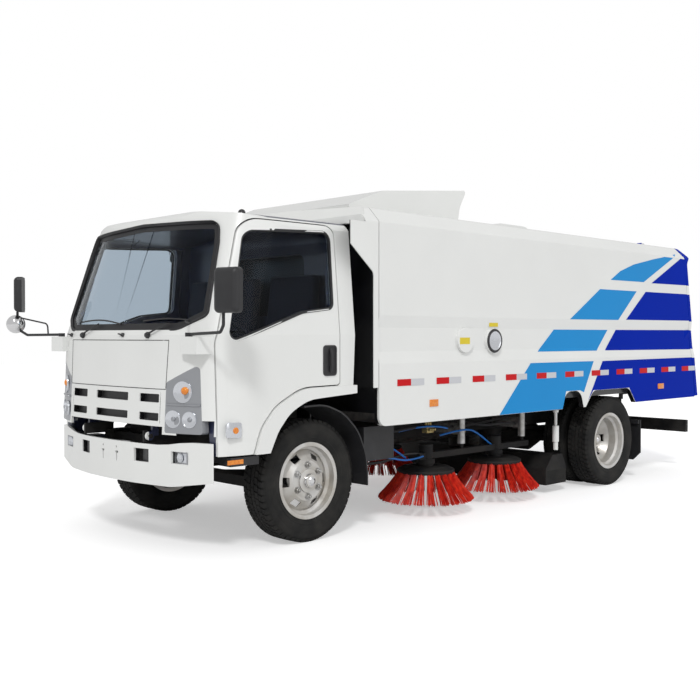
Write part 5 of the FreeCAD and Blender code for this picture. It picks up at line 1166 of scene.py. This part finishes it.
under = {
    "hoses": [
        [(-0.60, 0.70, 0.60), (-0.85, 0.76, 0.63), (-1.05, 0.74, 0.57), (-1.25, 0.72, 0.46)],
        [(-0.70, 0.62, 0.52), (-0.95, 0.80, 0.50), (-1.20, 0.80, 0.44), (-1.42, 0.76, 0.46)],
        [(-1.75, 0.66, 0.60), (-1.95, 0.78, 0.66), (-2.15, 0.76, 0.60), (-2.36, 0.74, 0.48)],
        [(-1.30, 0.60, 0.66), (-1.55, 0.72, 0.72), (-1.80, 0.70, 0.66)],
    ],
    "darkHoses": [
        [(-0.62, 0.60, 0.74), (-1.00, 0.70, 0.66), (-1.50, 0.64, 0.70), (-2.10, 0.66, 0.64),
         (-2.80, 0.60, 0.70)],
        [(-0.66, 0.68, 0.46), (-1.00, 0.66, 0.42), (-1.30, 0.70, 0.50), (-1.46, 0.74, 0.47)],
        [(-2.00, 0.58, 0.72), (-2.30, 0.66, 0.64), (-2.60, 0.70, 0.66), (-3.00, 0.66, 0.62)],
    ],
    "valves": [(-0.95, 0.655, 0.62), (-1.62, 0.64, 0.66), (-2.02, 0.64, 0.62)],
}
for label, material, radius in (("hoses", hoseBlue, 0.008), ("darkHoses", blackPlastic, 0.012)):
    runs = [tubeMesh([(axleX + x, y, z) for x, y, z in path], radius) for path in under[label]]
    sidePieces("underbody" + label.title(), joinMeshes(label, runs), material, "chassis", 40)
blocks = []
for x, y, z in under["valves"]:
    x += axleX
    blocks.append(boxMesh((x - 0.045, y - 0.03, z - 0.03), (x + 0.045, y + 0.03, z + 0.03), 0.006))
    for turn in (-0.028, 0.0, 0.028):
        blocks.append(latheMesh([(0, 0), (0.011, 0), (0.011, 0.030), (0.007, 0.034), (0, 0.034)], "Z",
                                (x + turn, y, z + 0.028), 16, False))
        blocks.append(latheMesh([(0, 0), (0.012, 0), (0.012, 0.022), (0.008, 0.028), (0, 0.028)], "Y",
                                (x + turn, y + 0.029, z), 16, False))
sidePieces("valveBlocks", joinMeshes("valves", blocks), zincYellow, "chassis", 35)
damper = latheMesh([(0, 0.40), (0.022, 0.40), (0.022, 0.47), (0.030, 0.475), (0.030, 0.62), (0.014, 0.625),
                    (0.014, 0.74), (0.026, 0.745), (0.026, 0.765), (0, 0.765)], "Z",
                   (axleX - 3.02, 0.975, 0), 24, False)
sidePieces("fillCylinder", damper, whitePaint, "chassis", 35)
print("underbody done")


# labels, left blank

for back, z, width, name in ((-1.892, 1.547, 0.118, "upper"), (-1.492, 1.406, 0.125, "cap")):
    x1 = axleX + back
    y1 = sideAt(x1, z, bodySkin, bodySide)
    plate = boxMesh((x1 - width / 2, y1 - 0.0005, z - 0.026), (x1 + width / 2, y1 + 0.0012, z + 0.026))
    sidePieces(name + "Label", plate, labelYellow, "sweeper_body")
print("labels done")


# sweeper body fittings

for back, width, name in ((-1.077, 0.1, "Front"), (-4.648, 0.12, "Rear")):
    x1 = axleX + back
    block = boxMesh((x1 - width, 1.1245, 0.902), (x1, 1.133, 0.957), 0.004)
    sidePieces("sideMarker" + name, block, amber, "sweeper_body", 40)
port = (axleX - 1.877, 1.137, 1.405)
rimRing = latheMesh([(0.098, 0.0), (0.099, 0.004), (0.092, 0.012), (0.080, 0.012), (0.076, 0.002),
                     (0.076, 0.0)], "Y", port, 48)
sidePieces("workLampRing", rimRing, blackPlastic, "sweeper_body", 35)
dish = latheMesh([(0.0, 0.0015), (0.03, 0.002), (0.062, 0.006), (0.078, 0.0105), (0.080, 0.0085),
                  (0.0, 0.0)], "Y", port, 40, False)
sidePieces("workLampDish", dish, reflector, "sweeper_body", 40)
print("body fittings done")


# floor, backdrop and light

floorMesh = meshOf("floor", [(-40, -40, 0), (40, -40, 0), (40, 40, 0), (-40, 40, 0)], [(0, 1, 2, 3)])
floor = bpy.data.objects.new("floor", floorMesh)
bpy.context.scene.collection.objects.link(floor)
floorPaint = nodeMaterial("floorPaint", (0.82, 0.82, 0.82), 0.9)
shader = floorPaint.node_tree.nodes["Principled BSDF"]
path = addNode(floorPaint, "ShaderNodeLightPath")
lift = addNode(floorPaint, "ShaderNodeMath", {0: path.outputs["Is Camera Ray"]}, operation="MULTIPLY")
lift.inputs[1].default_value = 0.42
shader.inputs["Emission Color"].default_value = (1, 1, 1, 1)
floorPaint.node_tree.links.new(lift.outputs[0], shader.inputs["Emission Strength"])
floorMesh.materials.append(floorPaint)

world = bpy.data.worlds.new("studio")
bpy.context.scene.world = world
world.use_nodes = True
background = world.node_tree.nodes["Background"]
rays = addNode(world, "ShaderNodeLightPath").outputs
seen = addNode(world, "ShaderNodeMath", {0: rays["Is Camera Ray"], 1: rays["Is Transmission Ray"]},
               operation="MAXIMUM")
level = addNode(world, "ShaderNodeMapRange", {"Value": seen.outputs[0]}, To_Min=0.62, To_Max=1.0)
background.inputs["Color"].default_value = (1, 1, 1, 1)
world.node_tree.links.new(level.outputs["Result"], background.inputs["Strength"])


def sunLamp(name, direction, strength, angle):
    data = bpy.data.lights.new(name, "SUN")
    data.energy = strength
    data.angle = math.radians(angle)
    lampObject = bpy.data.objects.new(name, data)
    lampObject.rotation_euler = Vector(direction).to_track_quat("Z", "Y").to_euler()
    bpy.context.scene.collection.objects.link(lampObject)


sunLamp("keySun", (0.62, 0.52, 0.75), 1.25, 9)
sunLamp("fillSun", (-0.25, 0.9, 0.35), 0.35, 40)
scene = bpy.context.scene
scene.view_settings.view_transform = "Standard"

print("stage and light done")
